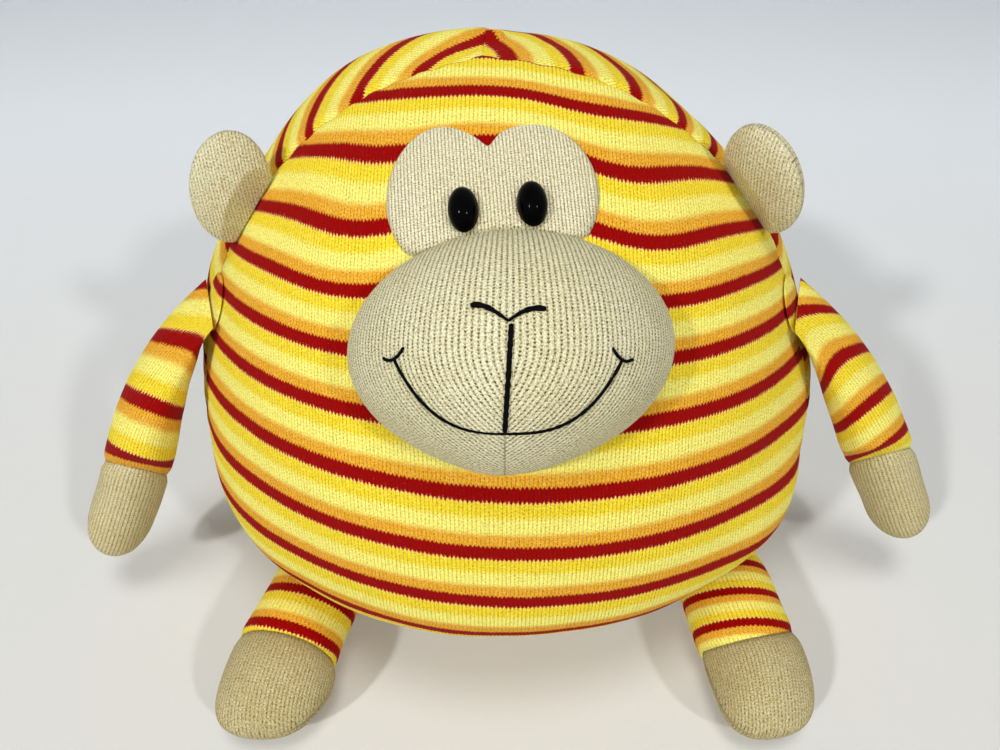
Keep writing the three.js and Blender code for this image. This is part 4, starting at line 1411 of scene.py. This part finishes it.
def make_arm(side):
    out = joint_axis(f"arm_{side}_swing")
    seat = Seat(joint_place(f"arm_{side}_raise"), out.cross(joint_axis(f"arm_{side}_raise")), out)
    names = "sleeve", "hand"
    # The hand has no seam at its tip, so that seam is put far past it
    sizes = ARM_LENGTH, SLEEVE_LENGTH, SLEEVE_SEAM_DEPTH, HAND_ROUND, 2 * ARM_LENGTH
    ring = partial(arm_ring, side, seat)
    narrowing = partial(end_fullness, length=ARM_LENGTH, end_length=HAND_ROUND, inset=0)
    make_limb("arm", side, names, ring, sizes, ARM_WALES, ARM_STRIPES[side], narrowing, quarter=pi / 2)
    make_tab(side, seat)


def make_leg(side):
    hinge = joint_axis(f"leg_{side}_lift")
    hip = joint_place(f"leg_{side}_lift")
    seat = Seat(Vector((hip.x, hip.y, 0)), Vector((-hinge.y, hinge.x, 0)), UP)
    names = "trouser", "foot"
    sizes = LEG_LENGTH, TROUSER_LENGTH, TROUSER_SEAM_DEPTH, FOOT_ROUND, LEG_LENGTH - TOE_SEAM
    ring = partial(leg_ring, side, seat)
    narrowing = partial(
        end_fullness, length=LEG_LENGTH, end_length=FOOT_ROUND, inset=0, squareness=FOOT_SQUARENESS)
    make_limb("leg", side, names, ring, sizes, LEG_WALES, LEG_STRIPES[side], narrowing, quarter=0)


for side in SIDES:
    make_arm(side)
    make_leg(side)


# Floor, light and camera


def seen_directly(bench):
    """1 for what the camera sees by itself, in a gloss or through something clear, else 0."""
    rays = [bench.node("ShaderNodeLightPath", {}, {}, out=ray) for ray in (0, 3, 6)]
    return bench.math("MAXIMUM", bench.math("MAXIMUM", rays[0], rays[1]), rays[2])


def make_floor():
    mesh = bpy.data.meshes.new("floor")
    shape = bmesh.new()
    profile = [(FLOOR_FRONT, 0.0), (FLOOR_BACK, 0.0)]
    for t in range(1, 13):
        bend = t / 12 * pi / 2
        profile.append((FLOOR_BACK + COVE_RADIUS * sin(bend), COVE_RADIUS * (1 - cos(bend))))
    profile.append((FLOOR_BACK + COVE_RADIUS, BACKDROP_HEIGHT))
    edges = -FLOOR_HALF_WIDTH, FLOOR_HALF_WIDTH
    lines = [[shape.verts.new((x, y, z)) for x in edges] for y, z in profile]
    for near, far in zip(lines, lines[1:]):
        shape.faces.new((near[0], near[1], far[1], far[0])).smooth = True
    shape.to_mesh(mesh)
    shape.free()
    made = put("floor", mesh)
    finish, bench, shader = new_finish("floor_cloth", {"Specular IOR Level": 0.05})
    cloud = bench.spots(bench.on_toy(), 3.0, 3.0)
    depth = bench.node("ShaderNodeSeparateXYZ", {}, {0: bench.on_toy()}, out=1)
    spread = depth + (cloud - 0.5) * 0.1
    # Painted shade: the floor is darker and warmer towards the front, and paler and bluer towards the back
    # and up the backdrop.
    colour = spread.step(-0.2, 0.9).tint(dye(217, 217, 213), dye(246, 251, 255))
    weave = bench.spots(bench.on_toy(), 900.0, 2.0)
    normal = bumped(bench, weave, 0.15, 0.0004)
    wire_up(bench, shader, {"Base Color": colour, "Roughness": 0.85 + weave * 0.1, "Normal": normal})
    # Painted light: for camera rays, in gloss and through clear things, the floor also glows a little,
    # which brightens it and softens its shadows.
    glow = bench.node("ShaderNodeEmission", {}, {"Color": dye(246, 247, 250), "Strength": 1.0})
    cloth = Wire(finish.node_tree, shader.outputs[0])
    glowing_cloth = bench.node("ShaderNodeMixShader", {}, {0: seen_directly(bench) * 0.08, 1: cloth, 2: glow})
    finish.node_tree.links.new(glowing_cloth.socket, finish.node_tree.nodes["Material Output"].inputs["Surface"])
    mesh.materials.append(finish)


def make_lamp(name, place, aim, size, power):
    lamp = bpy.data.lights.new(name, "AREA")
    lamp.shape = "DISK"
    lamp.size = size
    lamp.energy = power
    made = put(name, lamp)
    made.location = place
    made.rotation_euler = (Vector(aim) - Vector(place)).to_track_quat("-Z", "Y").to_euler()
    # The wide top lamp isn't mirrored in the eyes
    made.visible_glossy = size < 1


make_floor()
for lamp in LAMPS:
    make_lamp(*lamp)

world = bpy.data.worlds.new("studio")
world.use_nodes = True
tree = world.node_tree
air = Wire(tree)
background = tree.nodes["Background"]
background.inputs["Color"].default_value = (0.96, 0.98, 1.0, 1)
background.inputs["Strength"].default_value = WORLD_STRENGTH
pale = air.node("ShaderNodeBackground", {}, {"Color": dye(206, 212, 220), "Strength": 1.0})
light = Wire(tree, background.outputs[0])
sky = air.node("ShaderNodeMixShader", {}, {0: seen_directly(air), 1: light, 2: pale})
tree.links.new(sky.socket, tree.nodes["World Output"].inputs["Surface"])
bpy.context.scene.world = world

camera = bpy.data.cameras.new("camera")
camera.lens = CAMERA_LENS
camera.sensor_width = 36
camera.clip_start = 0.01
viewer = put("camera", camera)
viewer.location = on_frame(CAMERA_PLACE)
viewer.rotation_euler = CAMERA_AIM.to_track_quat("-Z", "Y").to_euler()
bpy.context.scene.camera = viewer
bpy.context.scene.view_settings.view_transform = "Standard"
